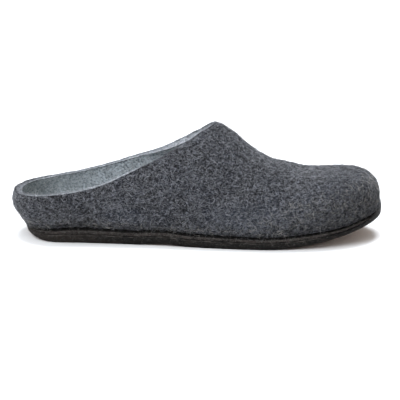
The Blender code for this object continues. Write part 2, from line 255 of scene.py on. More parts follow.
@dataclass(frozen=True)
class Last:
    """The last that the slipper is made on: its sizes, and the surfaces worked out from them.

    Lengths are in metres. Stations are shares of the length, from the back of the heel to the tip of the toe.
    """

    length: float = 0.2864
    ball_width: float = 0.1020
    instep_height: float = 0.0882
    heel_height: float = 0.0348
    wall: float = 0.0055
    heel_overhang: float = 0.0120
    toe_swing: float = 0.0035
    swing_start: float = 0.45
    toe_spring: float = 0.0183
    heel_curl: float = 0.0042
    spring_power: float = 1.75
    curl_power: float = 2.7
    arch_rise: float = 0.0014
    sole_thickness: float = 0.0113
    midsole_share: float = 0.42
    gap: float = 0.0003

    heel_pivot: float = 0.133
    toe_pivot: float = 0.692
    heel_tread_start: float = 0.150
    heel_tread_end: float = 0.335
    ball_tread_start: float = 0.490
    ball_tread_end: float = 0.685
    collar_tip: float = 0.549
    felt_front: float = 0.989

    outsole_margin: float = 0.0014
    toe_lip_reach: float = 0.0014
    heel_roundness: float = 2.02
    toe_roundness: float = 2.30
    front_crown: float = 0.92
    front_side: float = 0.86
    widest_share: float = 0.72
    tuck_start: float = 0.45
    tuck_end: float = 0.34
    pattern_unit: float = 0.045
    tip_setback: float = 0.15
    level_span: float = 1.45

    @property
    def spine(self) -> tuple[float, float]:
        """Both ends of the flat pattern's spine, in pattern units."""
        scale = self.length / self.pattern_unit
        return self.heel_pivot * scale, self.toe_pivot * scale

    @property
    def heel_reach(self) -> float:
        """Distance from the heel pivot back to the foot of the felt."""
        return self.heel_pivot * self.length - self.heel_overhang

    @property
    def face_drop(self) -> float:
        """Real distance down the face from level 0 to level 1, taken as the same all round."""
        return self.level_span * self.pattern_unit

    @property
    def toe_reach(self) -> float:
        """Distance from the toe pivot forward to the foot of the felt."""
        return (1.0 - self.toe_pivot) * self.length - self.outsole_margin - self.toe_lip_reach

    def tread(self, station: Array) -> Array:
        """Height of the underside: flat at heel and ball, raised at the arch, turned up at both ends.

        Args:
            station: Places along the shoe, as shares of its length.

        Returns:
            The height over the floor.
        """
        end = SOLE_LAYERS[0].station
        curl = np.clip((self.heel_tread_start - station) / (self.heel_tread_start - end), 0.0, 1.2)
        spring = np.clip((station - self.ball_tread_end) / (1.0 - self.ball_tread_end), 0.0, 1.0)
        waist = self.ball_tread_start - self.heel_tread_end
        arch = np.clip((station - self.heel_tread_end) / waist, 0.0, 1.0)
        rise = self.arch_rise * np.sin(np.pi * arch) ** 2
        return self.heel_curl * curl**self.curl_power + self.toe_spring * spring**self.spring_power + rise

    def sole_top(self, station: Array) -> Array:
        """Height of the midsole's upper face."""
        return self.tread(station) + self.sole_thickness * smooth(SOLE_LAYERS, "thickness", station)

    def outsole_top(self, station: Array) -> Array:
        """Height of the outsole's upper face, under the midsole."""
        full = self.sole_thickness * smooth(SOLE_LAYERS, "thickness", station)
        return self.tread(station) + (1.0 - self.midsole_share) * full

    def swing(self, station: Array) -> Array:
        """Sideways curve of the plan: the toe leans to the medial side with the square of the distance."""
        share = np.clip((station - self.swing_start) / (1.0 - self.swing_start), 0.0, 1.0)
        return self.toe_swing * share**2

    def fan(self, forward: Array, sideways: Array, reach: Array, half: Array) -> Array:
        """Radius of a superellipse in a direction, from its reach along the shoe and half width across."""
        power = np.where(forward < 0.0, self.heel_roundness, self.toe_roundness)
        return (np.abs(forward / reach) ** power + np.abs(sideways / half) ** power) ** (-1.0 / power)

    def felt_radius(self, forward: Array, sideways: Array, nearest: Array) -> Array:
        """Distance from the spine to the widest line of the felt.

        Args:
            forward: Share of each direction that points to the toe.
            sideways: Share that points across, below 0 on the lateral side.
            nearest: Station of the spine's nearest point.

        Returns:
            The distance in each direction.
        """
        half = by_side(SECTIONS, sideways, nearest) * self.ball_width
        reach = np.where(forward < 0.0, self.heel_pivot, self.felt_front - self.toe_pivot) * self.length
        return self.fan(forward, sideways, reach, half)

    def foot_radius(self, forward: Array, sideways: Array, nearest: Array) -> Array:
        """Distance from the spine to the foot of the felt, where it stands on the midsole."""
        half = by_side(FOOT_LINE, sideways, nearest) * self.ball_width
        return self.fan(forward, sideways, np.where(forward < 0.0, self.heel_reach, self.toe_reach), half)

    def surface(self, along: Array, across: Array) -> Array:
        """Outer face of the upper over its flat pattern.

        The pattern is a stadium round the spine. The distance from the spine runs from 0 at the ridge to 1 at
        the felt's foot, and the direction from the spine's nearest point gives the plane of the half section.
        The section is a Bezier arc from the ridge to the widest line, then one that tucks in to the foot.

        Args:
            along: Place along the shoe, in pattern units.
            across: Place across it, negative on the lateral side, in pattern units.

        Returns:
            Points with x from the back of the heel, y from the axis and z from the floor.
        """
        nearest_along = np.clip(along, *self.spine)
        ahead = along - nearest_along
        distance = np.maximum(np.hypot(ahead, across), 1e-9)
        forward = np.where(distance < 1e-8, 0.0, ahead / distance)
        sideways = np.where(distance < 1e-8, 1.0, across / distance)
        nearest = nearest_along * self.pattern_unit / self.length
        level = np.minimum(distance, 1.0)

        wide = self.felt_radius(forward, sideways, nearest)
        foot = self.foot_radius(forward, sideways, nearest)
        front = np.clip(forward, 0.0, 1.0) ** 2
        crown = smooth(SECTIONS, "crown", nearest) * (1.0 - front) + self.front_crown * front
        side = smooth(SECTIONS, "side", nearest) * (1.0 - front) + self.front_side * front

        over = np.clip(level / self.widest_share, 0.0, 1.0)
        under = np.clip((level - self.widest_share) / (1.0 - self.widest_share), 0.0, 1.0)
        edge = nearest + wide * forward / self.length
        drop = self.instep_height * smooth(SECTIONS, "widest", edge) - self.sole_top(edge)
        reach = np.where(
            level < self.widest_share,
            wide * bezier(0.0, crown, 1.0, 1.0, over),
            bezier(wide, wide, foot + self.tuck_end * drop, foot, under),
        )
        x = nearest * self.length + reach * forward
        station = x / self.length
        widest = self.instep_height * smooth(SECTIONS, "widest", station)
        ridge = self.instep_height * smooth(SECTIONS, "ridge", station)
        floor = self.sole_top(station) + self.gap
        fall = widest - floor
        height = np.where(
            level < self.widest_share,
            widest + (ridge - widest) * bezier(1.0, 1.0, side, 0.0, over),
            bezier(widest, widest - self.tuck_start * fall, floor + self.tuck_end * fall, floor, under),
        )
        return np.stack([x, reach * sideways + self.swing(station), height], axis=-1)

    def level(self, along: Array, across: Array) -> Array:
        """Distance from the spine in the flat pattern: 0 at the ridge, 1 at the foot."""
        return np.hypot(along - np.clip(along, *self.spine), across)

    def normal(self, along: Array, across: Array) -> Array:
        """Outward unit normal of the outer face: the cross product of its two slopes.

        Args:
            along: Places along the flat pattern.
            across: Places across it, below 0 on the lateral side.

        Returns:
            One vector for each place.
        """
        step = 1e-3
        nearest = np.clip(along, *self.spine)
        ahead = along - nearest
        shrink = np.minimum(1.0, (1.0 - 2.0 * step) / np.maximum(np.hypot(ahead, across), 1e-9))
        along, across = nearest + ahead * shrink, across * shrink
        east = self.surface(along + step, across) - self.surface(along - step, across)
        north = self.surface(along, across + step) - self.surface(along, across - step)
        return unit(np.cross(east, north))

    def above_collar(self, along: Array, across: Array) -> Array:
        """Height of the outer face above the collar's cut: positive where the opening is.

        Args:
            along: Places along the flat pattern.
            across: Places across it, below 0 on the lateral side.

        Returns:
            The height over the cut, in metres.
        """
        point = self.surface(along, across)
        station = point[..., 0] / self.length
        rise = by_side(COLLAR, across, station)
        return point[..., 2] - self.heel_height - (self.instep_height - self.heel_height) * rise

    def rays(self, count: int) -> tuple[Array, Array]:
        """Rays over the flat pattern, going round from the heel.

        Args:
            count: Number of rays.

        Returns:
            The start of each ray on the spine, and its end on the pattern's edge.
        """
        heel, toe = self.spine
        quarter = 0.5 * np.pi
        half = 2.0 * quarter + toe - heel
        way = np.linspace(-half, half, count, endpoint=False)
        side, way = np.where(way < 0.0, -1.0, 1.0), half - np.abs(way)
        heel_turn = np.clip(way, 0.0, quarter)
        toe_turn = np.clip(way - quarter - toe + heel, 0.0, quarter)
        run = np.clip(way - quarter, 0.0, toe - heel)
        ends = np.stack(
            [heel + run - np.cos(heel_turn) + np.sin(toe_turn), side * np.sin(heel_turn) * np.cos(toe_turn)],
            axis=-1,
        )
        tip = self.collar_tip * self.length / self.pattern_unit - self.tip_setback
        share = np.clip((way - quarter) / (half - quarter), 0.0, 1.0)
        starts = np.stack([heel + (tip - heel) * share, np.zeros(count)], axis=-1)
        return starts, ends

    def collar_line(self, starts: Array, ends: Array) -> Array:
        """Where each ray crosses the collar, found by halving.

        Args:
            starts: Start of each ray, in the flat pattern.
            ends: End of each ray.

        Returns:
            One place for each ray.
        """
        low, high = np.zeros(len(starts)), np.ones(len(starts))
        for _ in range(40):
            middle = 0.5 * (low + high)
            point = starts + (ends - starts) * middle[:, None]
            inside = self.above_collar(point[:, 0], point[:, 1]) > 0.0
            low, high = np.where(inside, middle, low), np.where(inside, high, middle)
        return starts + (ends - starts) * high[:, None]

    def half_width(self, station: Array, margin: float, side: str) -> Array:
        """Half width of the sole at a station on the lateral or medial side, with a margin round the felt.

        Args:
            station: Places along the shoe, as shares of its length.
            margin: Margin round the felt's foot.
            side: The side's column: lateral or medial.

        Returns:
            The half width at each station.
        """
        half = self.ball_width * smooth(FOOT_LINE, side, station) + margin
        back = np.clip((self.heel_pivot - station) * self.length / (self.heel_reach + margin), 0.0, 1.0)
        front = np.clip((station - self.toe_pivot) * self.length / (self.toe_reach + margin), 0.0, 1.0)
        heel = (1.0 - back**self.heel_roundness) ** (1.0 / self.heel_roundness)
        toe = (1.0 - front**self.toe_roundness) ** (1.0 / self.toe_roundness)
        return half * heel * toe

    def stations(self, margin: float, fan: int, body: int) -> Array:
        """Stations of the sole's outline, closer together where it turns round the heel and the toe.

        Args:
            margin: Margin round the felt's foot.
            fan: Number of steps round the heel, and as many round the toe.
            body: Number of steps between them.

        Returns:
            The stations from the heel to the toe.
        """
        turn = np.linspace(0.0, 0.5 * np.pi, fan + 1)
        back = (self.heel_reach + margin) * np.cos(turn) ** (2.0 / self.heel_roundness)
        front = (self.toe_reach + margin) * np.sin(turn) ** (2.0 / self.toe_roundness)
        middle = np.linspace(self.heel_pivot, self.toe_pivot, body + 1)
        heel = self.heel_pivot - back[:-1] / self.length
        return np.concatenate([heel, middle, self.toe_pivot + front[1:] / self.length])

    def outline(self, margin: float, height: Height, fan: int, body: int) -> Array:
        """Outline of the sole round the felt's foot, from the heel along the lateral side and back.

        Args:
            margin: Margin round the felt's foot.
            height: Height at each station.
            fan: Number of steps round the heel, and as many round the toe.
            body: Number of steps between them.

        Returns:
            Points with x, y and z last.
        """
        station = self.stations(margin, fan, body)
        lateral = -self.half_width(station, margin, "lateral")
        medial = self.half_width(station, margin, "medial")
        station = np.concatenate([station, station[-2:0:-1]])
        across = np.concatenate([lateral, medial[-2:0:-1]])
        return np.stack([station * self.length, across + self.swing(station), height(station)], axis=-1)


def frame_shift(last: Last) -> Array:
    """Shift from the last's own origin that lays its heel and its sole's axis over the frame's solids.

    Args:
        last: The last to place.

    Returns:
        The shift along x, y and z.
    """
    tread = last.outline(last.outsole_margin, last.tread, 40, 80)
    sole_low, sole_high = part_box("outsole")
    upper_low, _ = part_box("upper")
    own_middle = 0.5 * (tread[:, 1].min() + tread[:, 1].max())
    return np.array([upper_low.x, 0.5 * (sole_low.y + sole_high.y) - own_middle, 0.0])


def node_operator(operation: str, mirrored: bool = False) -> Callable[["Field", "Number"], "Field"]:
    """Makes a method of fields from a Math node over two values, which change places when it is mirrored.

    Args:
        operation: The Math node's operation.
        mirrored: Whether the field is the second value.

    Returns:
        The method.
    """

    def apply(self: "Field", other: "Number") -> "Field":
        """The node's result over this and other."""
        first, second = (other, self) if mirrored else (self, other)
        return self.graph.math(operation, first, second)

    return apply


class Field:
    """A number that changes over a surface: one socket of a shader, with Python's arithmetic."""

    def __init__(self, graph: "Graph", socket: Socket) -> None:
        """Wraps a socket of the graph."""
        self.graph = graph
        self.socket = socket

    __add__, __radd__ = node_operator("ADD"), node_operator("ADD", mirrored=True)
    __sub__, __rsub__ = node_operator("SUBTRACT"), node_operator("SUBTRACT", mirrored=True)
    __mul__, __rmul__ = node_operator("MULTIPLY"), node_operator("MULTIPLY", mirrored=True)
    larger = node_operator("MAXIMUM")

    def __abs__(self) -> "Field":
        """This without its sign."""
        return self.graph.math("ABSOLUTE", self)

    def clamped(self) -> "Field":
        """This held between 0 and 1."""
        return self.graph.math("ADD", self, 0.0, clamp=True)

    def step(self, low: float, high: float) -> "Field":
        """Rises smoothly from 0 where this is low to 1 where it is high.

        Args:
            low: Value where it starts.
            high: Value where it is full.

        Returns:
            The new field.
        """
        node = self.graph.node(
            "ShaderNodeMapRange",
            {"interpolation_type": "SMOOTHSTEP"},
            {"Value": self, "From Min": low, "From Max": high},
        )
        return Field(self.graph, node.outputs["Result"])

    def line(self, width: float) -> "Field":
        """1 on the thin lines where this passes 0.5, falling to 0 at the width from them."""
        return (1.0 - abs(self - 0.5) * (1.0 / width)).clamped()


Number = Field | float


class Grain(NamedTuple):
    """Noise of a finish: its scale per metre, detail and roughness, and where its mask starts and is full."""

    scale: float
    detail: float
    roughness: float
    low: float
    high: float


class Graph:
    """Shader nodes of one material that ends in a Principled BSDF."""

    def __init__(self, name: str) -> None:
        """Starts a material with an empty Principled BSDF.

        Args:
            name: Name of the material.
        """
        self.material = bpy.data.materials.new(name)
        self.material.use_nodes = True
        self.tree = self.material.node_tree
        self.shader = self.tree.nodes["Principled BSDF"]

    def node(
        self,
        kind: str,
        settings: Mapping[str, object] | None = None,
        sockets: Mapping[str | int, object] | None = None,
    ) -> bpy.types.Node:
        """Adds a node.

        Args:
            kind: The node's type.
            settings: Properties, which are set first.
            sockets: Values, fields or sockets for its inputs, by name or index.

        Returns:
            The new node.
        """
        node = self.tree.nodes.new(kind)
        for name, value in (settings or {}).items():
            setattr(node, name, value)
        for key, value in (sockets or {}).items():
            self.feed(node.inputs[key], value)
        return node

    def feed(self, socket: Socket, value: object) -> None:
        """Links a field or socket to an input, or sets its value.

        Args:
            socket: The input.
            value: What goes in.
        """
        if isinstance(value, Field):
            value = value.socket
        if isinstance(value, Socket):
            self.tree.links.new(value, socket)
        elif isinstance(value, tuple) and len(value) == 3 and socket.type == "RGBA":
            socket.default_value = (*value, 1.0)
        else:
            socket.default_value = value

    def math(self, operation: str, first: Number, second: Number = 0.0, clamp: bool = False) -> Field:
        """One Math node over two numbers or fields."""
        settings = {"operation": operation, "use_clamp": clamp}
        return Field(self, self.node("ShaderNodeMath", settings, {0: first, 1: second}).outputs[0])

    def position(self, stretch: Point = (1.0, 1.0, 1.0)) -> Socket:
        """Object coordinates in metres, stretched along the axes."""
        source = self.node("ShaderNodeTexCoord").outputs["Object"]
        return self.node("ShaderNodeMapping", {}, {"Vector": source, "Scale": stretch}).outputs["Vector"]

    def vector(self, operation: str, sockets: Mapping[str | int, object]) -> Socket:
        """One Vector Math node."""
        return self.node("ShaderNodeVectorMath", {"operation": operation}, sockets).outputs[0]

    def warped(self, vector: Socket, scale: float, reach: float) -> Socket:
        """A vector pushed about by a noise of the given scale, up to the reach in metres.

        Args:
            vector: Coordinates to read at, in metres.
            scale: Scale of the noise per metre.
            reach: How far it pushes.

        Returns:
            The pushed coordinates.
        """
        push = self.node("ShaderNodeTexNoise", {}, {"Vector": vector, "Scale": scale, "Detail": 1.0})
        centred = self.vector("SUBTRACT", {0: push.outputs["Color"], 1: (0.5, 0.5, 0.5)})
        scaled = self.vector("SCALE", {0: centred, "Scale": reach})
        return self.vector("ADD", {0: vector, 1: scaled})

    def noise(
        self, vector: Socket, scale: float, detail: float = 2.0, roughness: float = 0.5, twist: float = 0.0
    ) -> Field:
        """Noise of the given scale per metre.

        Args:
            vector: Coordinates to read at, in metres.
            scale: Its scale per metre.
            detail: How many finer layers it has.
            roughness: How strong they are.
            twist: How far it is distorted.

        Returns:
            A field from 0 to 1.
        """
        sockets = {"Vector": vector, "Scale": scale, "Detail": detail, "Roughness": roughness}
        node = self.node("ShaderNodeTexNoise", {}, {**sockets, "Distortion": twist})
        return Field(self, node.outputs["Fac"])

    def mask(self, vector: Socket, grain: Grain) -> Field:
        """A mask from 0 to 1 by a grain's noise."""
        return self.noise(vector, grain.scale, grain.detail, grain.roughness).step(grain.low, grain.high)

    def attribute(self, name: str) -> Field:
        """A value painted on the mesh."""
        return Field(self, self.node("ShaderNodeAttribute", {"attribute_name": name}).outputs["Fac"])

    def mix(self, factor: Number, first: object, second: object) -> Socket:
        """Colour between first at factor 0 and second at factor 1."""
        node = self.node("ShaderNodeMix", {"data_type": "RGBA"}, {"Factor": factor, 6: first, 7: second})
        return node.outputs[2]

    def bump(self, height: Field, distance: float) -> Socket:
        """Normal of a relief, whose height 1 is the distance in metres."""
        sockets = {"Height": height, "Distance": distance, "Strength": 1.0}
        return self.node("ShaderNodeBump", {}, sockets).outputs["Normal"]

    def finish(self, **sockets: object) -> Material:
        """Feeds the Principled BSDF: an underscore in a name stands for a space.

        Args:
            **sockets: Values, fields or sockets by the input's name.

        Returns:
            The finished material.
        """
        for name, value in sockets.items():
            self.feed(self.shader.inputs[name.replace("_", " ")], value)
        return self.material


@dataclass(frozen=True)
class Melange:
    """Colours of one face of the felt: dark wool, ground wool in a cool and a warm tone, pale fibres."""

    dark: Colour
    cool: Colour
    warm: Colour
    pale: Colour


@dataclass(frozen=True)
class WoolFelt:
    """Melange wool felt: dark and mid wool, pale curled fibres, clouds of blue and of warm grey."""

    name: str
    face: Melange
    lining: Melange
    cut_edge: Colour
    # Painted colours: near black for painted shade with some soil low on the outer face and in the seam, grey
    # for painted shade inside the heel, pale blue for tone clouds and painted highlight.
    soil_and_shade: Colour
    heel_shade: Colour = (0.168, 0.192, 0.198)
    bloom_and_highlight: Colour = (0.060, 0.071, 0.092)
    pale_amount: float = 0.80
    fibre_scale: float = 580.0
    relief: float = 0.00030
    speck: Grain = Grain(scale=725.0, detail=2.0, roughness=0.6, low=0.50, high=0.66)
    mottle: Grain = Grain(scale=600.0, detail=4.0, roughness=0.66, low=0.32, high=0.68)
    cloud: Grain = Grain(scale=38.0, detail=2.0, roughness=0.5, low=0.38, high=0.62)
    shade: Grain = Grain(scale=62.0, detail=2.0, roughness=0.5, low=0.30, high=0.70)

    def fibres(self, graph: Graph, where: Socket, scale: float, width: float) -> Field:
        """Curled fibre lines: a warped noise's half-height contours, broken up by a second noise.

        Args:
            graph: The shader that they belong to.
            where: Coordinates to read at.
            scale: Scale of the lines per metre.
            width: Half width of a line, as a share of the noise's range.

        Returns:
            A field that is 1 on the fibres.
        """
        curled = graph.warped(where, scale * 0.50, 0.0024)
        lines = graph.noise(curled, scale, 1.0, 0.4, 0.5).line(width)
        breaks = graph.noise(where, scale * 0.9, 1.0).step(0.46, 0.60)
        return lines * breaks

    def material(self) -> Material:
        """Builds the felt's shader.

        Returns:
            The material.
        """
        graph = Graph(self.name)
        where = graph.position((0.84, 0.84, 1.08))
        turned = graph.position((0.78, 0.90, 1.22))
        first = self.fibres(graph, where, self.fibre_scale, 0.055)
        second = self.fibres(graph, turned, self.fibre_scale * 1.35, 0.065)
        fibre = first.larger(second * 0.90)
        speck = graph.mask(where, self.speck)
        mottle = graph.mask(graph.warped(where, 380.0, 0.0026), self.mottle)
        cloud, shade = graph.mask(where, self.cloud), graph.mask(turned, self.shade)
        grain = graph.noise(where, 1900.0, 2.0, 0.6)
        lining, cut, pressed = graph.attribute("lining"), graph.attribute("cut"), graph.attribute("pressed")
        tone = graph.attribute("tone") * (0.70 + 0.60 * shade)

        ground = graph.mix(cloud, self.face.warm, self.face.cool)
        ground = graph.mix(lining, ground, graph.mix(cloud, self.lining.warm, self.lining.cool))
        dark = graph.mix(lining, self.face.dark, self.lining.dark)
        pale = graph.mix(lining, self.face.pale, self.lining.pale)
        body = graph.mix((mottle * 0.80 + shade * 0.30).clamped(), dark, ground)
        body = graph.mix(speck * (0.74 + 0.14 * lining), body, dark)
        # Tone clouds: random tone, with painted shade and painted highlight where the shape turns from the
        # light.
        body = graph.mix((tone * -0.55).clamped(), body, dark)
        body = graph.mix((tone * 0.22).clamped(), body, self.bloom_and_highlight)
        body = graph.mix(fibre * (self.pale_amount - 0.25 * lining), body, pale)
        body = graph.mix(cut * (0.42 + 0.58 * mottle) * (1.0 - 0.45 * speck), body, self.cut_edge)
        # Painted shade with some soil low on the outer face, painted shadow in the seam, painted shade inside
        # the heel, trodden wear on the footbed.
        body = graph.mix(pressed * 0.96, body, graph.mix(lining, self.soil_and_shade, self.heel_shade))

        height = fibre * 0.55 + mottle * 0.35 - speck * 0.35 + grain * 0.30
        return graph.finish(
            Base_Color=body,
            Roughness=0.95,
            Normal=graph.bump(height, self.relief),
            Sheen_Weight=0.085,
            Sheen_Roughness=0.40,
            Specular_IOR_Level=0.08,
        )


@dataclass(frozen=True)
class DenseFelt:
    """Hard pressed dark felt of the midsole, cut with a knife round its edge."""

    name: str
    dark: Colour
    light: Colour
    fray_and_highlight: Colour
    seam_shadow: Colour = (0.0016, 0.0014, 0.0013)
    mottle: Grain = Grain(scale=340.0, detail=3.0, roughness=0.6, low=0.36, high=0.66)
    arris_fray: Grain = Grain(scale=420.0, detail=3.0, roughness=0.7, low=0.46, high=0.62)
    seam_fray: Grain = Grain(scale=520.0, detail=3.0, roughness=0.7, low=0.26, high=0.40)

    def material(self) -> Material:
        """Builds the shader: short level fibres, a mottled ground, a frayed line of painted highlight,
        painted shadow at the seam.

        Returns:
            The material.
        """
        graph = Graph(self.name)
        where = graph.position()
        level = graph.position((0.45, 0.45, 1.6))
        fibre = graph.noise(graph.warped(level, 260.0, 0.002), 620.0, 1.0, 0.4).line(0.10)
        mottle = graph.mask(where, self.mottle)
        grain = graph.noise(where, 2100.0, 2.0, 0.6)
        body = graph.mix(mottle * 0.8, self.dark, self.light)
        body = graph.mix(fibre * 0.5, body, tuple(2.1 * c for c in self.light))
        fray_and_highlight = graph.mask(graph.position((0.5, 0.5, 1.0)), self.arris_fray)
        # Painted highlight, with frayed fibres: a pale broken line along the edge.
        body = graph.mix(graph.attribute("arris") * (0.10 + 0.90 * fray_and_highlight), body, self.fray_and_highlight)
        ragged = graph.mask(graph.position((0.7, 0.7, 1.0)), self.seam_fray)
        # Painted shadow: the edge turns near black at the seam under the upper.
        body = graph.mix(graph.attribute("seam_shadow") * ragged * 0.96, body, self.seam_shadow)
        height = fibre * 0.4 + mottle * 0.4 + grain * 0.4
        return graph.finish(
            Base_Color=body,
            Roughness=0.92,
            Normal=graph.bump(height, 0.00022),
            Sheen_Weight=0.02,
            Specular_IOR_Level=0.07,
        )


@dataclass(frozen=True)
class SoleLeather:
    """Sole leather: a blackened, burnished edge and a brown suede tread with worn spots."""

    name: str
    edge: Colour
    edge_worn_and_lit: Colour
    fray_and_highlight: Colour
    suede: Colour
    suede_dark: Colour
    arris_fray: Grain = Grain(scale=380.0, detail=3.0, roughness=0.7, low=0.46, high=0.60)
    scuff: Grain = Grain(scale=120.0, detail=3.0, roughness=0.6, low=0.48, high=0.66)

    def material(self) -> Material:
        """Builds the shader: the painted tread mask parts the burnished edge from the suede.

        Returns:
            The material.
        """
        graph = Graph(self.name)
        where = graph.position()
        level = graph.position((0.35, 0.35, 2.2))
        tread, worn = graph.attribute("tread"), graph.attribute("worn")
        layers = graph.noise(level, 420.0, 3.0, 0.6)
        pores = graph.noise(where, 1300.0, 3.0, 0.65)
        nap = graph.noise(graph.warped(where, 150.0, 0.006), 520.0, 4.0, 0.68)
        scuff = graph.mask(graph.position((0.4, 1.6, 1.0)), self.scuff)
        # Painted reflected light: the edge is paler and browner at the heel; the worn layers lie all along
        # it.
        worn_and_lit = layers.step(0.48, 0.72) * 0.5 + graph.attribute("heel") * (0.15 + 0.40 * layers)
        edge = graph.mix(worn_and_lit.clamped(), self.edge, self.edge_worn_and_lit)
        fray_and_highlight = graph.mask(graph.position((0.5, 0.5, 1.0)), self.arris_fray)
        # Painted highlight, with frayed fibres, along the outsole's top arris.
        edge = graph.mix(graph.attribute("arris") * (0.10 + 0.80 * fray_and_highlight), edge, self.fray_and_highlight)
        suede = graph.mix(nap.step(0.32, 0.68), self.suede_dark, self.suede)
        suede = graph.mix(scuff * worn * 0.7, suede, self.suede_dark)
        roughness = 0.50 + 0.12 * layers + 0.36 * tread
        height = layers * 0.30 * (1.0 - tread) + pores * 0.20 + nap * tread * 0.7
        return graph.finish(
            Base_Color=graph.mix(tread, edge, suede),
            Roughness=roughness.clamped(),
            Normal=graph.bump(height, 0.00018),
            Specular_IOR_Level=0.10,
        )


@dataclass(frozen=True)
class WoolFibre:
    """Single wool fibres of a nap, from dark to pale by the shade painted on each."""

    name: str
    dark: Colour
    pale: Colour

    def material(self) -> Material:
        """Builds the shader of the nap.

        Returns:
            The material.
        """
        graph = Graph(self.name)
        colour = graph.mix(graph.attribute("shade"), self.dark, self.pale)
        return graph.finish(Base_Color=colour, Roughness=0.85, Sheen_Weight=0.12, Specular_IOR_Level=0.15)


@dataclass(frozen=True)
class Paper:
    """Plain pale studio floor."""

    name: str
    colour: Colour

    def material(self) -> Material:
        """Builds the floor's shader."""
        return Graph(self.name).finish(Base_Color=self.colour, Roughness=0.6, Specular_IOR_Level=0.1)


CUT_WOOL: Colour = (0.450, 0.472, 0.505)
GREY_FACE = Melange(
    dark=(0.0012, 0.0012, 0.0017),
    cool=(0.0078, 0.0092, 0.0142),
    warm=(0.0100, 0.0099, 0.0112),
    pale=(0.188, 0.196, 0.223),
)
# The lining's light grey is made paler than the wool: painted light against the shade inside the shoe.
GREY_LINING = Melange(
    dark=(0.050, 0.062, 0.070),
    cool=(0.715, 0.775, 0.830),
    warm=(0.695, 0.745, 0.780),
    pale=(0.940, 0.950, 0.960),
)
OUTER_WOOL = WoolFelt(
    name="grey_melange_felt",
    face=GREY_FACE,
    lining=GREY_LINING,
    cut_edge=CUT_WOOL,
    soil_and_shade=(0.0020, 0.0019, 0.0019),
)
GREY_FOOTBED = Melange(
    dark=(0.120, 0.136, 0.145),
    cool=(0.270, 0.300, 0.330),
    warm=(0.262, 0.288, 0.305),
    pale=(0.420, 0.440, 0.462),
)
FOOTBED_WOOL = WoolFelt(
    name="footbed_felt",
    face=GREY_FOOTBED,
    lining=GREY_FOOTBED,
    cut_edge=CUT_WOOL,
    soil_and_shade=(0.040, 0.041, 0.042),
    pale_amount=0.6,
)
MIDSOLE_WOOL = DenseFelt(
    name="dense_dark_felt",
    dark=(0.0045, 0.0037, 0.0033),
    light=(0.034, 0.0285, 0.0260),
    fray_and_highlight=(0.085, 0.080, 0.075),
)
DARK_LEATHER = SoleLeather(
    name="black_edged_leather",
    edge=(0.0018, 0.0015, 0.0012),
    edge_worn_and_lit=(0.026, 0.0200, 0.0165),
    fray_and_highlight=(0.070, 0.063, 0.057),
    suede=(0.190, 0.105, 0.070),
    suede_dark=(0.100, 0.055, 0.038),
)
NAP_WOOL = WoolFibre(name="wool_nap", dark=(0.0050, 0.0053, 0.0070), pale=(0.308, 0.314, 0.340))
FOOT_WOOL = WoolFibre(name="warm_wool_wisps", dark=(0.0045, 0.0044, 0.0048), pale=(0.385, 0.370, 0.345))
LINING_NAP_WOOL = WoolFibre(name="lining_wool_nap", dark=(0.045, 0.051, 0.058), pale=(0.900, 0.915, 0.935))
SOLE_NAP_WOOL = WoolFibre(name="sole_wool_nap", dark=(0.0060, 0.0054, 0.0048), pale=(0.135, 0.126, 0.117))
STUDIO_PAPER = Paper(name="studio_paper", colour=(0.72, 0.72, 0.72))


def stand(name: str, data: bpy.types.ID) -> bpy.types.Object:
    """Stands a mesh, a lamp or the camera in the scene, at the origin.

    Args:
        name: Name of the object.
        data: Its mesh, light or camera.

    Returns:
        The new object.
    """
    thing = bpy.data.objects.new(name, data)
    bpy.context.scene.collection.objects.link(thing)
    return thing


def quads(index: Array) -> Array:
    """Quads between the neighbours in a grid of point numbers."""
    return np.stack([index[:-1, :-1], index[1:, :-1], index[1:, 1:], index[:-1, 1:]], axis=-1).reshape(-1, 4)


@dataclass
class Piece:
    """One visible piece on its way into the scene: its mesh data and what is painted on it."""

    name: str
    points: Array
    faces: Array | Sequence[Sequence[int]]
    paint: Mapping[str, Array]

    def build(self, material: Material, slot: str, replaces: Sequence[str] = ()) -> None:
        """Puts the mesh into Blender, with its place in its points, and lets it ride on the slipper.

        Args:
            material: The piece's finish.
            slot: Slot that the finish belongs to; not used.
            replaces: Solids that the piece stands for.
        """
        mesh = bpy.data.meshes.new(self.name)
        faces = self.faces.tolist() if isinstance(self.faces, np.ndarray) else self.faces
        mesh.from_pydata(self.points.reshape(-1, 3), [], faces)
        for name, values in self.paint.items():
            layer = mesh.attributes.new(name, "FLOAT", "POINT")
            layer.data.foreach_set("value", np.ascontiguousarray(values, dtype=np.float32).ravel())
        mesh.shade_smooth()
        mesh.materials.append(material)
        piece = stand(self.name, mesh)
        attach(piece, "root")
        if replaces:
            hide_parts(*replaces)
        LOG.info("%s: %d points, %d faces", self.name, len(mesh.vertices), len(mesh.polygons))


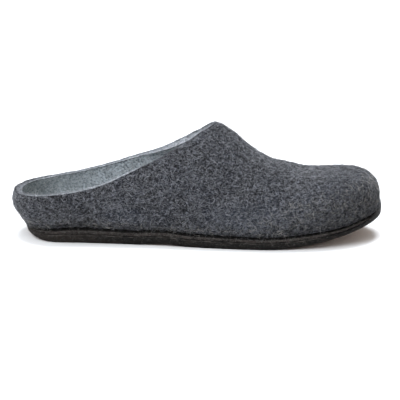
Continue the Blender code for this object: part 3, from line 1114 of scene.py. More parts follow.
@dataclass(frozen=True)
class Crease:
    """A soft trough with a low ridge on each side, between two places on the outer face.

    Places are a station and a level: 0 at the ridge line, −1 at the lateral foot and 1 at the medial foot.
    """

    start: Pair
    end: Pair
    depth: float
    width: float
    ridge: float = 0.9
    end_fade: float = 0.12

    def relief(self, station: Array, level: Array, last: Last) -> Array:
        """Depth of the trough at the distance d from the segment: depth·(ridge·(d/w)² − 1)·exp(−(d/w)²).

        Args:
            station: Places along the shoe, as shares of its length.
            level: Levels in the flat pattern, below 0 on the lateral side.
            last: The last that the face belongs to.

        Returns:
            Height along the normal, below 0 in the trough.
        """
        scale = np.array([last.length, last.face_drop])
        start, end = np.array(self.start) * scale, np.array(self.end) * scale
        place = np.stack([station, level], axis=-1) * scale - start
        way = end - start
        share = np.clip(place @ way / (way @ way), 0.0, 1.0)
        distance = np.linalg.norm(place - share[..., None] * way, axis=-1) / self.width
        fade = np.sin(np.pi * (self.end_fade + (1.0 - 2.0 * self.end_fade) * share))
        return self.depth * fade * (self.ridge * distance**2 - 1.0) * np.exp(-(distance**2))


@dataclass(frozen=True)
class Patch:
    """A soft cloud where the wool is darker (below 0) or paler and bluer (above 0): random tone, painted
    shade, painted highlight.
    """

    place: Pair
    size: Pair
    shade: float

    def amount(self, station: Array, level: Array, last: Last) -> Array:
        """Shade at each place: a bell of the distances along and down, each over the patch's size there.

        Args:
            station: Places along the shoe, as shares of its length.
            level: Levels in the flat pattern, below 0 on the lateral side.
            last: The last that the face belongs to.

        Returns:
            The shade, from −1 to 1.
        """
        along = (station - self.place[0]) * last.length / self.size[0]
        down = (level - self.place[1]) * last.face_drop / self.size[1]
        return self.shade * np.exp(-(along**2) - down**2)


@dataclass(frozen=True)
class CutEdge:
    """The pale line of cut wool along the collar's rim, and where it wanders over its two arrises.

    The face starts at a share of the way from the lining's arris to the outer one. That share and the line's
    strength are those of the lateral side behind, and both change towards the front and the medial side.
    """

    face_start: float = 0.54
    front_shift: float = 0.28
    medial_shift: float = 0.50
    softness: float = 0.16
    strength: float = 0.64
    front_gain: float = 0.36
    medial_loss: float = 0.14
    breaks: float = 0.20
    flecks: Ripple = Ripple(height=0.40, shortest=0.002, longest=0.012, count=40, seed=23)
    heel_loss: float = 0.50
    heel_fade: Pair = (0.09, 0.03)
    front_blend: Pair = (0.32, 0.46)
    medial_blend: Pair = (-0.006, 0.010)
    outer_fade: Pair = (0.0014, 0.0002)
    lining_fade: Pair = (0.0025, 0.0)

    def medial(self, points: Array) -> Array:
        """0 on the lateral side and 1 on the medial side."""
        return ease(*self.medial_blend, points[..., 1])


@dataclass(frozen=True)
class SoilAndShade:
    """Darkened wool: painted shade and some soil above the sole, more at the toe; painted shadow in the seam;
    painted shade in the heel.
    """

    amount: float = 0.42
    toe_gain: float = 0.20
    toe_blend: Pair = (0.80, 0.95)
    level_blend: Pair = (0.74, 0.95)
    seam_shadow_blend: Pair = (0.974, 0.982)
    seam_shadow_ragged: Ripple = Ripple(height=0.005, shortest=0.0025, longest=0.010, count=24, seed=51)
    heel_shade_amount: float = 0.66
    heel_blend: Pair = (0.42, 0.08)


class Face(Enum):
    """Faces that a nap grows on."""

    OUTER = "outer"
    FOOT = "foot"
    LINING = "lining"
    RIM = "rim"
    MIDSOLE = "midsole"
    OUTSOLE = "outsole"


@dataclass(frozen=True)
class FeltUpper:
    """The moulded wool shell: outer face, lining and the cut edge of the collar, as one closed surface."""

    last: Last
    shift: Array
    rays: int = 520
    outer_rows: int = 118
    inner_rows: int = 44
    row_power: float = 1.25
    rim_steps: int = 10
    rim_round: float = 0.62
    rim_power: float = 0.8
    foot_flare: float = 1.20
    cut_reach: float = 0.14
    waviness: Ripple = Ripple(height=0.00022, shortest=0.030, longest=0.075, count=14, seed=3)
    lumps: Ripple = Ripple(height=0.00013, shortest=0.006, longest=0.018, count=40, seed=5)
    lining_lumps: Ripple = Ripple(height=0.00013, shortest=0.008, longest=0.022, count=30, seed=11)
    rim_swell: Ripple = Ripple(height=0.10, shortest=0.008, longest=0.03, count=12, seed=21)
    press_depth: float = 0.00050
    press_level: float = 0.925
    press_width: float = 0.016
    roll_in: float = 0.00070
    bare_rows: int = 10
    foot_share: float = 0.66
    edge: CutEdge = CutEdge()
    soil_and_shade: SoilAndShade = SoilAndShade()
    creases: tuple[Crease, ...] = (
        Crease((0.735, -0.42), (0.800, 0.30), 0.00085, 0.0085),
        Crease((0.690, -0.62), (0.735, -0.20), 0.00060, 0.0070),
        Crease((0.640, -0.46), (0.600, -0.70), 0.00070, 0.0100),
        Crease((0.660, 0.30), (0.700, 0.66), 0.00070, 0.0090),
        Crease((0.330, -0.78), (0.450, -0.62), 0.00060, 0.0090),
        Crease((0.400, 0.62), (0.520, 0.74), 0.00070, 0.0100),
        Crease((0.085, -0.90), (0.230, -0.84), 0.00055, 0.0060),
    )
    # The dark cloud under the peak (0.500, -0.30) and the pale one on the bulge (0.640, -0.68) are painted
    # shade and painted highlight; the dark one low at the toe (0.920, -0.82) is painted shade; the rest are
    # tone.
    patches: tuple[Patch, ...] = (
        Patch((0.500, -0.30), (0.016, 0.028), -0.8),
        Patch((0.640, -0.68), (0.036, 0.011), 0.9),
        Patch((0.310, -0.72), (0.014, 0.008), 0.7),
        Patch((0.680, -0.34), (0.028, 0.011), -0.6),
        Patch((0.840, -0.86), (0.030, 0.008), -0.6),
        Patch((0.930, -0.55), (0.014, 0.014), 0.5),
        Patch((0.140, -0.72), (0.026, 0.009), -0.4),
        Patch((0.790, -0.50), (0.018, 0.010), 0.4),
        Patch((0.470, -0.74), (0.012, 0.008), -0.5),
        Patch((0.600, 0.35), (0.025, 0.018), -0.6),
        Patch((0.720, 0.70), (0.030, 0.011), 0.7),
        Patch((0.420, 0.80), (0.022, 0.009), 0.6),
        Patch((0.250, 0.72), (0.026, 0.012), -0.5),
        Patch((0.860, 0.15), (0.022, 0.016), -0.4),
        Patch((0.920, -0.80), (0.042, 0.016), -1.0),
    )

    def relief(self, points: Array, along: Array, across: Array) -> Array:
        """Height of the felt's unevenness over the smooth last.

        It is the sum of long and short waves, of the creases, of the groove where the felt is pressed against
        the sole just above its foot, and of the foot itself, which rolls in towards the seam.

        Args:
            points: Places on the smooth outer face.
            along: Their place along the flat pattern.
            across: Their place across it.

        Returns:
            Height along the normal, in metres.
        """
        level = self.last.level(along, across)
        station = points[..., 0] / self.last.length
        side = np.where(across < 0.0, -1.0, 1.0)
        height = self.waviness.over(points) + self.lumps.over(points)
        for crease in self.creases:
            height = height + crease.relief(station, side * level, self.last)
        groove = self.press_depth * np.exp(-(((level - self.press_level) / self.press_width) ** 2))
        return (height - groove) * ease(1.0, 0.965, level) - self.roll_in * ease(0.972, 1.0, level)

    def face(self, rim: Array, ends: Array, count: int) -> tuple[Array, Array, Array, tuple[Array, Array]]:
        """The smooth outer face between the collar and the foot.

        Args:
            rim: Where the rays start, in the flat pattern.
            ends: Where they end.
            count: Steps from one to the other.

        Returns:
            Points, their level in the pattern, their normals, and their places in the pattern.
        """
        shares = np.linspace(0.0, 1.0, count + 1)[:, None, None]
        pattern = rim + (ends - rim) * (1.0 - (1.0 - shares) ** self.row_power)
        places = pattern[..., 0], pattern[..., 1]
        return self.last.surface(*places), self.last.level(*places), self.last.normal(*places), places

    def lining(self, rim: Array, ends: Array) -> Array:
        """The lining face: the outer face moved in by the wall, square to it.

        At the foot and at a steep rim it moves level instead. So the foot stands flat on the midsole, and the
        rim is cut level at the heel.

        Args:
            rim: Where the rays cross the collar, in the flat pattern.
            ends: Where they end.

        Returns:
            Points from the rim down to the midsole.
        """
        smooth_face, level, normal, _ = self.face(rim, ends, self.inner_rows)
        foot = ease(0.86, 1.0, level)
        near_rim = ease(self.cut_reach, 0.0, level - level[0])
        flat = np.maximum(foot, near_rim * ease(0.90, 0.60, normal[..., 2]))
        inward = unit(normal * np.stack([np.ones_like(flat), np.ones_like(flat), 1.0 - flat], axis=-1))
        lean = np.maximum((inward * normal).sum(axis=-1), 0.5)
        through = 1.0 + (self.foot_flare - 1.0) * foot + near_rim * (1.0 / lean - 1.0)
        inner = smooth_face - inward * self.last.wall * through[..., None]
        inner[-1, :, 2] = self.last.sole_top(inner[-1, :, 0] / self.last.length) + self.last.gap
        loose = self.lining_lumps.over(inner) * ease(1.0, 0.8, level)
        return inner + inward * loose[..., None]

    def rim(self, outer: Array, inner: Array) -> Array:
        """Rows over the cut edge, from the lining's first row to the outer face's, swollen in the middle.

        Args:
            outer: First row of the outer face.
            inner: First row of the lining.

        Returns:
            Points of the rows.
        """
        round_rim = np.roll(outer, -1, axis=0) - np.roll(outer, 1, axis=0)
        upward = unit(np.cross(round_rim, outer - inner))
        turns = np.linspace(np.pi, 0.0, self.rim_steps + 2)[1:-1, None, None]
        middle, spread = 0.5 * (outer + inner), 0.5 * (outer - inner)
        swell = 0.5 * self.last.wall * self.rim_round * (1.0 + self.rim_swell.over(outer))
        return middle + spread * np.cos(turns) + upward * swell[:, None] * np.sin(turns) ** self.rim_power

    def rows(self) -> tuple[Array, dict[str, Array]]:
        """Rows of points down the outer face, up the lining and over the rim, and what is painted there.

        Returns:
            The points, and the painted values by name.
        """
        starts, ends = self.last.rays(self.rays)
        rim = self.last.collar_line(starts, ends)
        outer, level, normal, along_across = self.face(rim, ends, self.outer_rows)
        station = outer[..., 0] / self.last.length
        outer = outer + normal * self.relief(outer, *along_across)[..., None]
        inner = self.lining(rim, ends)
        top = self.rim(outer[0], inner[0])
        points = np.concatenate([outer, inner[::-1], top])
        side = np.where(along_across[1] < 0.0, -level, level)
        return points + self.shift, self.paint((outer, inner, top), station, side)

    def paint(self, faces: tuple[Array, Array, Array], station: Array, level: Array) -> dict[str, Array]:
        """Works out what is painted on the shell: lining, cut edge, painted shade and soil, tone with painted
        shade and highlight.

        Args:
            faces: Points of the outer face and of the lining, each from the rim down, and of the rim.
            station: Station of each point of the smooth outer face.
            level: Its level, below 0 on the lateral side.

        Returns:
            Values of each attribute, in the order of the shell's rows.
        """
        outer, inner, top = faces
        edge, soil_and_shade, down = self.edge, self.soil_and_shade, np.abs(level)
        top_station, inner_station = top[..., 0] / self.last.length, inner[::-1, :, 0] / self.last.length
        none_inside, none_on_top = inner[..., 0] * 0.0, top[..., 0] * 0.0

        front, medial = ease(*edge.front_blend, top_station), edge.medial(top)
        broken = np.clip(0.50 + edge.flecks.over(top), 0.0, 1.0)
        strength = edge.strength - edge.medial_loss * medial + edge.front_gain * front
        strength = strength + edge.medial_loss * medial * front
        strength = strength * (1.0 - edge.breaks + edge.breaks * broken)
        strength = strength * (1.0 - edge.heel_loss * ease(*edge.heel_fade, top_station))
        face_start = edge.face_start + edge.front_shift * front + edge.medial_shift * medial
        outward = np.broadcast_to(np.linspace(0.0, 1.0, self.rim_steps + 2)[1:-1, None], top.shape[:2])
        line = strength * ease(face_start + edge.softness, face_start - edge.softness, outward)
        below = np.linalg.norm(outer - outer[0], axis=-1)
        first_rows = strength[-1] * medial[-1] * ease(*edge.outer_fade, below)
        inside = np.linalg.norm(inner - inner[0], axis=-1)[::-1]
        near_edge = (1.0 - edge.medial(inner[::-1])) * ease(*edge.lining_fade, inside)

        # Painted shade, with some soil, darkens the outer face towards the sole, more at the toe.
        toe_side = soil_and_shade.toe_gain * ease(*soil_and_shade.toe_blend, station)
        shade_and_soil = (soil_and_shade.amount + toe_side) * ease(*soil_and_shade.level_blend, down)
        # A ragged painted shadow, near black, fills the seam just above the midsole.
        ragged = down + soil_and_shade.seam_shadow_ragged.over(outer)
        shade_and_soil = shade_and_soil + (1.0 - shade_and_soil) * ease(*soil_and_shade.seam_shadow_blend, ragged)
        # Painted shade inside the heel, over the lining.
        heel_shade = soil_and_shade.heel_shade_amount * ease(*soil_and_shade.heel_blend, inner_station)
        tone = sum(patch.amount(station, level, self.last) for patch in self.patches)
        return {
            "lining": np.concatenate([down * 0.0, 1.0 - near_edge, none_on_top]),
            "cut": np.concatenate([first_rows, near_edge * strength[0], line]),
            "pressed": np.concatenate([shade_and_soil, heel_shade, none_on_top]),
            "tone": np.concatenate([tone, none_inside, none_on_top]),
        }

    def build(self, finish: WoolFelt) -> dict[Face, Array]:
        """Makes the shell and returns the grids of points that its naps grow on.

        Args:
            finish: The piece's finish.

        Returns:
            Grids by face.
        """
        points, paint = self.rows()
        index = np.arange(points.shape[0] * points.shape[1]).reshape(points.shape[:2])
        piece = Piece("felt_shell", points, quads(np.pad(index, ((0, 1), (0, 1)), mode="wrap")), paint)
        piece.build(finish.material(), "upper_felt", ["upper"])
        outer, lining, rim = np.split(points, [self.outer_rows + 1, self.outer_rows + self.inner_rows + 2])
        outer = outer[: -self.bare_rows]
        foot = outer[int(self.foot_share * len(outer)) :]
        return {Face.OUTER: outer, Face.FOOT: foot, Face.LINING: lining, Face.RIM: rim}


class Lie(Enum):
    """How a fibre of the nap lies on the felt: how high it rises, in millimetres."""

    FLAT = 0.12
    RAISED = 1.50


@dataclass(frozen=True)
class Nap:
    """Loose wool fibres over one face, each a thin curled spindle with pointed ends."""

    name: str
    face: Face
    wool: WoolFibre
    lie: Lie
    count: int
    length: Pair
    radius: Pair
    pale_share: float
    seed: int
    slot: str = "upper_felt"
    shade_and_soil: float = 0.0
    root: float = 0.05
    floor_guard: float = 0.008
    upright: float = 1.7
    bend: float = 0.35
    tuft_mean: float = 0.45
    tuft_swing: float = 0.80
    tuft_range: Pair = (0.05, 1.40)
    tuft_size: Pair = (0.0015, 0.0060)
    tail: float = 1.6
    dark_shade: float = 0.05
    pale_shades: Pair = (0.45, 1.0)
    shade_and_soil_rows: Pair = (0.66, 0.95)
    toe_shade_and_soil: float = 0.55
    toe_blend: Pair = (0.085, 0.120)
    toe_rows: Pair = (0.15, 0.45)

    def build(self, rows: Array) -> None:
        """Scatters the fibres over a grid of points.

        Each fibre starts at a random place on the grid, evenly by area, and runs along the face in a random
        direction, upwards where it starts near the floor. It bends to one side and rises off the face by the
        lie's millimetres. Raised fibres stand in tufts and their ends stay off the face. Painted shade, with
        some soil, darkens the fibres towards the last row, and further up at the toe.

        Args:
            rows: Grid of points of the face, which is open at its first and last row.
        """
        random = np.random.default_rng(self.seed)
        corner = rows[:-1]
        down, side = rows[1:] - corner, np.roll(rows, -1, axis=1)[:-1] - corner
        normal = np.cross(down, side).reshape(-1, 3)
        area = np.linalg.norm(normal, axis=-1)
        chosen = np.searchsorted(np.cumsum(area) / area.sum(), random.random(self.count))
        chosen = np.minimum(chosen, len(area) - 1)
        share = random.random((self.count, 2, 1))
        start = corner.reshape(-1, 3)[chosen]
        start = start + down.reshape(-1, 3)[chosen] * share[:, 0] + side.reshape(-1, 3)[chosen] * share[:, 1]
        up = unit(normal[chosen])

        heading = unit(np.cross(up, random.normal(size=(self.count, 3)) * [1.0, 1.0, self.upright]))
        sinking = (start[:, 2:] < self.floor_guard) & (heading[:, 2:] < 0.0)
        heading = heading * np.where(sinking, -1.0, 1.0)
        beside = np.cross(up, heading)
        length = random.uniform(*self.length, self.count)[:, None]
        radius = random.uniform(*self.radius, self.count)[:, None]
        bend = random.uniform(-self.bend, self.bend, (self.count, 2))[..., None] * length[:, None]
        tuft = self.tuft_mean + self.tuft_swing * waves(start, *self.tuft_size, 40, self.seed)
        raised = (self.lie.value - Lie.FLAT.value) * np.clip(tuft, *self.tuft_range)[:, None]
        rise = MM * (Lie.FLAT.value + raised)[:, None] * random.uniform(0.3, 1.0, (self.count, 2))[..., None]
        first = start + heading * length * 0.33 + beside * bend[:, 0] + up * rise[:, 0]
        second = start + heading * length * 0.67 + beside * bend[:, 1] + up * rise[:, 1]
        tail = MM * raised * random.uniform(0.0, self.tail, self.count)[:, None]
        end = start + heading * length + up * (tail - self.root * MM)

        angles = np.array([0.0, 2.0, 4.0]) * np.pi / 3.0
        ring = up[:, None] * np.cos(angles)[:, None] + beside[:, None] * np.sin(angles)[:, None]
        ring = ring * radius[:, None]
        root = (start - up * self.root * MM)[:, None]
        points = np.concatenate([root, first[:, None] + ring, second[:, None] + ring, end[:, None]], axis=1)
        spindle = np.array(
            [
                [0, 2, 1], [0, 3, 2], [0, 1, 3],
                [1, 2, 5], [1, 5, 4], [2, 3, 6], [2, 6, 5], [3, 1, 4], [3, 4, 6],
                [4, 5, 7], [5, 6, 7], [6, 4, 7],
            ]
        )
        corners = points.shape[1]
        faces = (spindle + corners * np.arange(self.count)[:, None, None]).reshape(-1, 3)
        is_pale = random.random(self.count) < self.pale_share
        shade = np.where(is_pale, random.uniform(*self.pale_shades, self.count), self.dark_shade)
        # Painted shade, with some soil, darkens the fibres towards the last row and low at the toe.
        row_share = chosen // rows.shape[1] / (len(rows) - 1.0)
        toe = self.toe_shade_and_soil * ease(*self.toe_blend, start[:, 0]) * ease(*self.toe_rows, row_share)
        shade = shade * (1.0 - self.shade_and_soil * np.minimum(ease(*self.shade_and_soil_rows, row_share) + toe, 1.0))
        paint = {"shade": np.repeat(shade, corners)}
        Piece(self.name, points, faces, paint).build(self.wool.material(), self.slot)


NAPS = (
    Nap("outer_nap", Face.OUTER, NAP_WOOL, Lie.FLAT, count=15000, length=(0.0018, 0.0048),
        radius=(0.00005, 0.00010), pale_share=0.36, seed=101, shade_and_soil=0.65),
    Nap("outer_wisps", Face.OUTER, NAP_WOOL, Lie.FLAT, count=9000, length=(0.0026, 0.0070),
        radius=(0.00006, 0.00010), pale_share=0.53, seed=102, shade_and_soil=0.55),
    Nap("outer_fuzz", Face.OUTER, NAP_WOOL, Lie.RAISED, count=13000, length=(0.0016, 0.0044),
        radius=(0.00004, 0.00008), pale_share=0.60, seed=103, shade_and_soil=0.55),
    Nap("foot_wisps", Face.FOOT, FOOT_WOOL, Lie.FLAT, count=3000, length=(0.0024, 0.0066),
        radius=(0.00006, 0.00011), pale_share=0.58, seed=108, shade_and_soil=0.30),
    Nap("rim_nap", Face.RIM, NAP_WOOL, Lie.RAISED, count=1800, length=(0.0012, 0.0030),
        radius=(0.00003, 0.00006), pale_share=0.60, seed=107),
    Nap("lining_nap", Face.LINING, LINING_NAP_WOOL, Lie.FLAT, count=9000, length=(0.0015, 0.0040),
        radius=(0.00004, 0.00008), pale_share=0.56, seed=104),
    Nap("midsole_nap", Face.MIDSOLE, SOLE_NAP_WOOL, Lie.FLAT, count=3000, length=(0.0010, 0.0036),
        radius=(0.00004, 0.00008), pale_share=0.55, seed=105, slot="midsole_felt"),
    # These fibres darken towards the tread: painted shade under the sole.
    Nap("outsole_edge_nap", Face.OUTSOLE, SOLE_NAP_WOOL, Lie.FLAT, count=2600, length=(0.0008, 0.0030),
        radius=(0.00003, 0.00007), pale_share=0.45, seed=106, slot="outsole_leather", shade_and_soil=0.90),
)


def between(first: Height, second: Height, share: float) -> Height:
    """Height at a share of the way from the first face to the second, as a function of the station."""
    return lambda station: first(station) + (second(station) - first(station)) * share


@dataclass(frozen=True)
class Plate:
    """A flat layer of the sole: loops round its edge, and a face of level strips above and below."""

    last: Last
    shift: Array
    fan: int = 46
    body: int = 130
    across: int = 14

    def grid(self, loops: Sequence[Loop]) -> Array:
        """Grid of points round the plate's edge, loop by loop."""
        return np.stack([self.last.outline(margin, height, self.fan, self.body) for margin, height in loops])

    def mesh(self, loops: Sequence[Loop]) -> tuple[Array, list[list[int]], Array]:
        """Works out the plate.

        The edge is a grid of loops by places round them. Each face is a grid of stations by places across.
        Its outer columns are the loop's lateral and medial points, and its ends close on the loop's tips.

        Args:
            loops: Margin and height function of each loop, from the top over the edge to the bottom.

        Returns:
            Points, faces, and the row number of each point, which is the last loop's for the lower face.
        """
        rows = self.grid(loops)
        count, around = rows.shape[:2]
        index = np.arange(count)[:, None] * around + np.arange(around)
        faces = quads(np.pad(index, ((0, 0), (0, 1)), mode="wrap")).tolist()
        points, row_of = [rows.reshape(-1, 3)], [np.repeat(np.arange(count), around)]
        total = count * around
        half = around // 2
        share = np.linspace(0.0, 1.0, self.across + 1)[1:-1, None]
        for row, upward in ((0, True), (count - 1, False)):
            lateral, medial = rows[row, 1:half], rows[row, :half:-1]
            inside = lateral[:, None] + (medial - lateral)[:, None] * share
            added = inside.shape[0] * inside.shape[1]
            grid = np.empty((half - 1, self.across + 1), int)
            grid[:, 0] = row * around + np.arange(1, half)
            grid[:, -1] = row * around + np.arange(around - 1, half, -1)
            grid[:, 1:-1] = total + np.arange(added).reshape(inside.shape[:2])
            points.append(inside.reshape(-1, 3))
            row_of.append(np.full(added, row))
            total += added
            heel = np.stack([np.full(self.across, row * around), grid[0, :-1], grid[0, 1:]], axis=-1)
            toe = np.stack([grid[-1, :-1], np.full(self.across, row * around + half), grid[-1, 1:]], axis=-1)
            face = quads(grid).tolist() + heel.tolist() + toe.tolist()
            faces += face if upward else [corners[::-1] for corners in face]
        return np.concatenate(points), faces, np.concatenate(row_of)

    def arc(self, margin: float, height: Height, radius: float, upper: bool, steps: int = 5) -> list[Loop]:
        """Loops of a rounded edge: a quarter circle from the flat face to the upright side, or back.

        Args:
            margin: Margin of the upright side.
            height: Height of the flat face.
            radius: Radius of the round.
            upper: True at the top of the plate, False at its bottom.
            steps: Number of loops.

        Returns:
            The loops, from the top down.
        """
        turns = np.linspace(0.0, 0.5 * np.pi, steps)
        sign = -1.0 if upper else 1.0
        loops = [
            (
                margin - radius * (1.0 - float(np.sin(turn))),
                lambda s, drop=sign * radius * (1.0 - float(np.cos(turn))): height(s) + drop,
            )
            for turn in turns
        ]
        return loops if upper else loops[::-1]


@dataclass(frozen=True)
class FeltMidsole(Plate):
    """The dense felt layer that the upper stands on, with its edge's rows as shares of the way up."""

    margin: float = 0.0004
    edge_round: float = 0.0007
    round_share: float = 0.14
    side_shares: tuple[float, ...] = (0.72, 0.66, 0.58, 0.53, 0.47, 0.42, 0.20, 0.04, 0.0)
    bottom_inset: float = 0.2
    unevenness: Ripple = Ripple(height=0.00012, shortest=0.004, longest=0.02, count=24, seed=31)
    seam_share: float = 0.62
    seam_blur: float = 0.03
    pale_line_share: float = 0.50
    pale_line_width: float = 0.05
    arris: float = 0.8
    nap_start: int = 8

    def bottom(self, station: Array) -> Array:
        """Height of its underside, on the outsole."""
        return self.last.outsole_top(station) + self.last.gap

    def build(self, finish: DenseFelt) -> Array:
        """Makes the midsole: uneven soft edge, painted shadow black at the seam, over a frayed painted
        highlight line; returns the edge.

        Args:
            finish: The piece's finish.

        Returns:
            Grid of points round the edge.
        """
        turns = np.linspace(0.0, 0.5 * np.pi, 5)
        shares = np.append(1.0 - self.round_share * (1.0 - np.cos(turns)), self.side_shares)
        side_inset = [0.0] * (len(self.side_shares) - 1)
        inset = self.edge_round * np.append(1.0 - np.sin(turns), [*side_inset, self.bottom_inset])
        loops = [
            (self.margin - float(step), between(self.bottom, self.last.sole_top, float(share)))
            for step, share in zip(inset, shares)
        ]
        points, faces, row = self.mesh(loops)
        upright = ((row > 0) & (row < len(loops) - 1)).astype(float)
        points[:, 1] += np.sign(points[:, 1]) * upright * self.unevenness.over(points)
        share = shares[row]
        paint = {
            # Painted shadow at the seam, over the top of the edge.
            "seam_shadow": ease(self.seam_share - self.seam_blur, self.seam_share + self.seam_blur, share),
            # Painted highlight, with frayed fibres: a pale line along the middle of the edge.
            "arris": self.arris * ease(2.0 * self.pale_line_width, self.pale_line_width, np.abs(share - self.pale_line_share)),
        }
        piece = Piece("midsole_layer", points + self.shift, faces, paint)
        piece.build(finish.material(), "midsole_felt", ["midsole"])
        return self.grid(loops[self.nap_start : -1]) + self.shift


class Print(NamedTuple):
    """One trodden hollow of the footbed: its station, its spread along, and its share of the foot's width."""

    station: float
    spread: float
    width: float


@dataclass(frozen=True)
class FeltInsole(Plate):
    """The footbed inside the upper, with a shallow print of the foot."""

    thickness: float = 0.0045
    clearance: float = 0.0006
    edge_round: float = 0.0010
    foot_flare: float = 1.20
    print_depth: float = 0.0006
    print_half: float = 0.30
    print_rub: float = 0.25
    prints: tuple[Print, ...] = (
        Print(0.15, 0.07, 0.7),
        Print(0.66, 0.09, 1.0),
    )

    def bottom(self, station: Array) -> Array:
        """Height of its underside, on the midsole."""
        return self.last.sole_top(station) + self.last.gap

    def top(self, station: Array) -> Array:
        """Height of its upper face."""
        return self.bottom(station) + self.thickness

    def build(self, finish: WoolFelt) -> None:
        """Makes the footbed: its middle is trodden down at the heel and at the ball.

        Args:
            finish: The piece's finish.
        """
        margin = -self.last.wall * self.foot_flare - self.clearance
        loops = self.arc(margin, self.top, self.edge_round, True) + [(margin, self.bottom)]
        points, faces, row = self.mesh(loops)
        station = points[:, 0] / self.last.length
        half = self.print_half * self.last.ball_width
        trodden = sum(
            np.exp(-(((station - place) / spread) ** 2) - (points[:, 1] / (width * half)) ** 2)
            for place, spread, width in self.prints
        )
        points[:, 2] -= (row == 0) * self.print_depth * trodden
        paint = {name: row * 0.0 for name in ("lining", "cut", "tone")}
        paint["pressed"] = self.print_rub * trodden
        piece = Piece("footbed", points + self.shift, faces, paint)
        piece.build(finish.material(), "insole_felt", ["insole"])


@dataclass(frozen=True)
class LeatherOutsole(Plate):
    """The leather outsole, whose edge stands up as a lip round the midsole at the toe and at the heel."""

    across: int = 40
    midsole_margin: float = 0.0004
    lip_height: float = 0.0039
    heel_lip_height: float = 0.0012
    seat_step: float = 0.0001
    edge_round: float = 0.000315
    tread_round: float = 0.0012
    side_start: float = 0.12
    side_loops: int = 6
    bulge: float = 0.00018
    unevenness: Ripple = Ripple(height=0.00010, shortest=0.003, longest=0.015, count=24, seed=41)
    worn_spots: tuple[Pair, ...] = ((0.20, 0.10), (0.62, 0.12))

    def lip(self, station: Array) -> Array:
        """Height of the lip over the seat of the midsole."""
        return self.lip_height * ease(0.93, 1.0, station) + self.heel_lip_height * ease(0.10, 0.055, station)

    def rim(self, station: Array) -> Array:
        """Height of the outsole's upper arris, on the lip."""
        return self.last.outsole_top(station) + self.lip(station)

    def foot(self, station: Array) -> Array:
        """Height where the upright side turns under to the tread."""
        return self.last.tread(station) + self.tread_round

    def build(self, finish: SoleLeather) -> Array:
        """Makes the outsole, with its seat, lip, burnished edge and tread; returns the edge.

        Args:
            finish: The piece's finish.

        Returns:
            Grid of points round the edge.
        """
        last, outer = self.last, self.last.outsole_margin
        inner = self.midsole_margin + last.gap
        seat: list[Loop] = [(inner, last.outsole_top), (inner + self.seat_step, last.outsole_top)]
        seat.append((inner + 2.0 * self.seat_step, self.rim))
        rim = self.arc(outer, self.rim, self.edge_round, True)
        shares = np.linspace(self.side_start, 1.0 - self.side_start, self.side_loops)
        side = [
            (outer + self.bulge * float(np.sin(np.pi * share)), between(self.rim, self.foot, float(share)))
            for share in shares
        ]
        loops = seat + rim + side + self.arc(outer, last.tread, self.tread_round, False, 7)
        points, faces, row = self.mesh(loops)
        upright = ((row >= len(seat)) & (row < len(loops) - 4)).astype(float)
        points[:, 1] += np.sign(points[:, 1]) * upright * self.unevenness.over(points)
        station = points[:, 0] / last.length
        paint = {
            # The near-black edge runs down over the lower round before the suede starts: painted shade under
            # the sole.
            "tread": ease(len(loops) - 3.5, len(loops) - 1.0, row.astype(float)),
            "worn": sum(np.exp(-(((station - place) / spread) ** 2)) for place, spread in self.worn_spots),
            # Painted highlight, with frayed fibres, on the top arris.
            "arris": (row >= len(seat)) * (row < len(seat) + len(rim)) * ease(0.86, 0.78, station),
            # Painted reflected light on the edge, strongest at the heel.
            "heel": ease(0.36, 0.10, station),
        }
        piece = Piece("leather_outsole", points + self.shift, faces, paint)
        piece.build(finish.material(), "outsole_leather", ["outsole"])
        return self.grid(loops[len(seat) + 1 : -4]) + self.shift


class Lamp(NamedTuple):
    """One large diffuser: where its light comes from, its spread in degrees and its strength."""

    name: str
    place: Point
    spread: float
    power: float


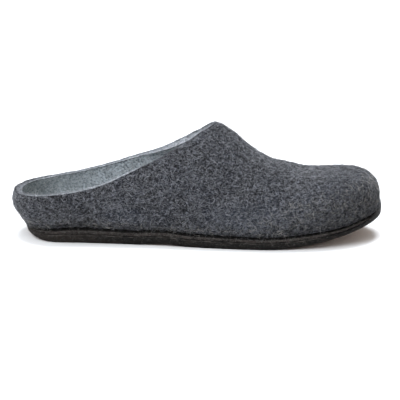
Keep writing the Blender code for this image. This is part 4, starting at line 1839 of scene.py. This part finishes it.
@dataclass(frozen=True)
class Studio:
    """The camera at the photograph's angle, a pale floor and soft light."""

    frame_pixels: float = 400.0
    pixels_per_metre: float = 1291.0
    distance: float = 1.60
    azimuth: float = 2.3
    elevation: float = 15.0
    aim: Point = (0.0026, 0.0, 0.0262)
    sensor: float = 36.0
    floor_size: float = 12.0
    surround_tint: Colour = (1.0, 0.955, 0.900)
    surround_strength: float = 0.72
    lamp_tint: Colour = (0.950, 1.0, 1.065)
    lamps: tuple[Lamp, ...] = (
        Lamp("overhead_diffuser", (0.05, 0.46, 1.40), 34.0, 5.2),
        Lamp("front_diffuser", (-0.80, -0.70, 1.20), 60.0, 2.95),
        Lamp("low_diffuser", (-0.70, -1.00, 0.45), 50.0, 0.9),
    )

    def camera(self) -> None:
        """Sets the camera: its lens gives the photograph's pixels per metre at the slipper."""
        azimuth, elevation = np.radians(self.azimuth), np.radians(self.elevation)
        level = np.cos(elevation)
        way = Vector((np.sin(azimuth) * level, -np.cos(azimuth) * level, np.sin(elevation)))
        data = bpy.data.cameras.new("camera")
        data.sensor_width = self.sensor
        data.lens = self.pixels_per_metre * self.distance / self.frame_pixels * self.sensor
        data.clip_end = 50.0
        camera = stand("camera", data)
        camera.location = Vector(self.aim) + way * self.distance
        camera.rotation_euler = way.to_track_quat("Z", "Y").to_euler()
        bpy.context.scene.camera = camera

    def floor(self, finish: Paper) -> None:
        """Lays the floor on z = 0.

        Args:
            finish: The floor's finish.
        """
        half = 0.5 * self.floor_size
        mesh = bpy.data.meshes.new("studio_floor")
        corners = [(-half, -half, 0), (half, -half, 0), (half, half, 0), (-half, half, 0)]
        mesh.from_pydata(corners, [], [(0, 1, 2, 3)])
        mesh.materials.append(finish.material())
        stand("studio_floor", mesh)

    def light(self) -> None:
        """Sets an even warm surround and the large cooler diffusers."""
        world = bpy.data.worlds.new("surround")
        world.use_nodes = True
        surround = world.node_tree.nodes["Background"].inputs
        surround["Color"].default_value = (*self.surround_tint, 1.0)
        surround["Strength"].default_value = self.surround_strength
        bpy.context.scene.world = world
        for lamp in self.lamps:
            data = bpy.data.lights.new(lamp.name, "SUN")
            data.color = self.lamp_tint
            data.angle = np.radians(lamp.spread)
            data.energy = lamp.power
            thing = stand(lamp.name, data)
            thing.location = lamp.place
            thing.rotation_euler = Vector(lamp.place).to_track_quat("Z", "Y").to_euler()
        bpy.context.scene.view_settings.view_transform = "Standard"


def main() -> None:
    """Builds the slipper piece by piece, then the studio."""
    logging.basicConfig(level=logging.INFO, format="%(name)s: %(message)s")
    last = Last()
    shift = frame_shift(last)
    grids = FeltUpper(last, shift).build(OUTER_WOOL)
    grids[Face.MIDSOLE] = FeltMidsole(last, shift).build(MIDSOLE_WOOL)
    FeltInsole(last, shift).build(FOOTBED_WOOL)
    grids[Face.OUTSOLE] = LeatherOutsole(last, shift).build(DARK_LEATHER)
    for nap in NAPS:
        nap.build(grids[nap.face])
    studio = Studio()
    studio.camera()
    studio.floor(STUDIO_PAPER)
    studio.light()


if __name__ == "__main__":
    main()
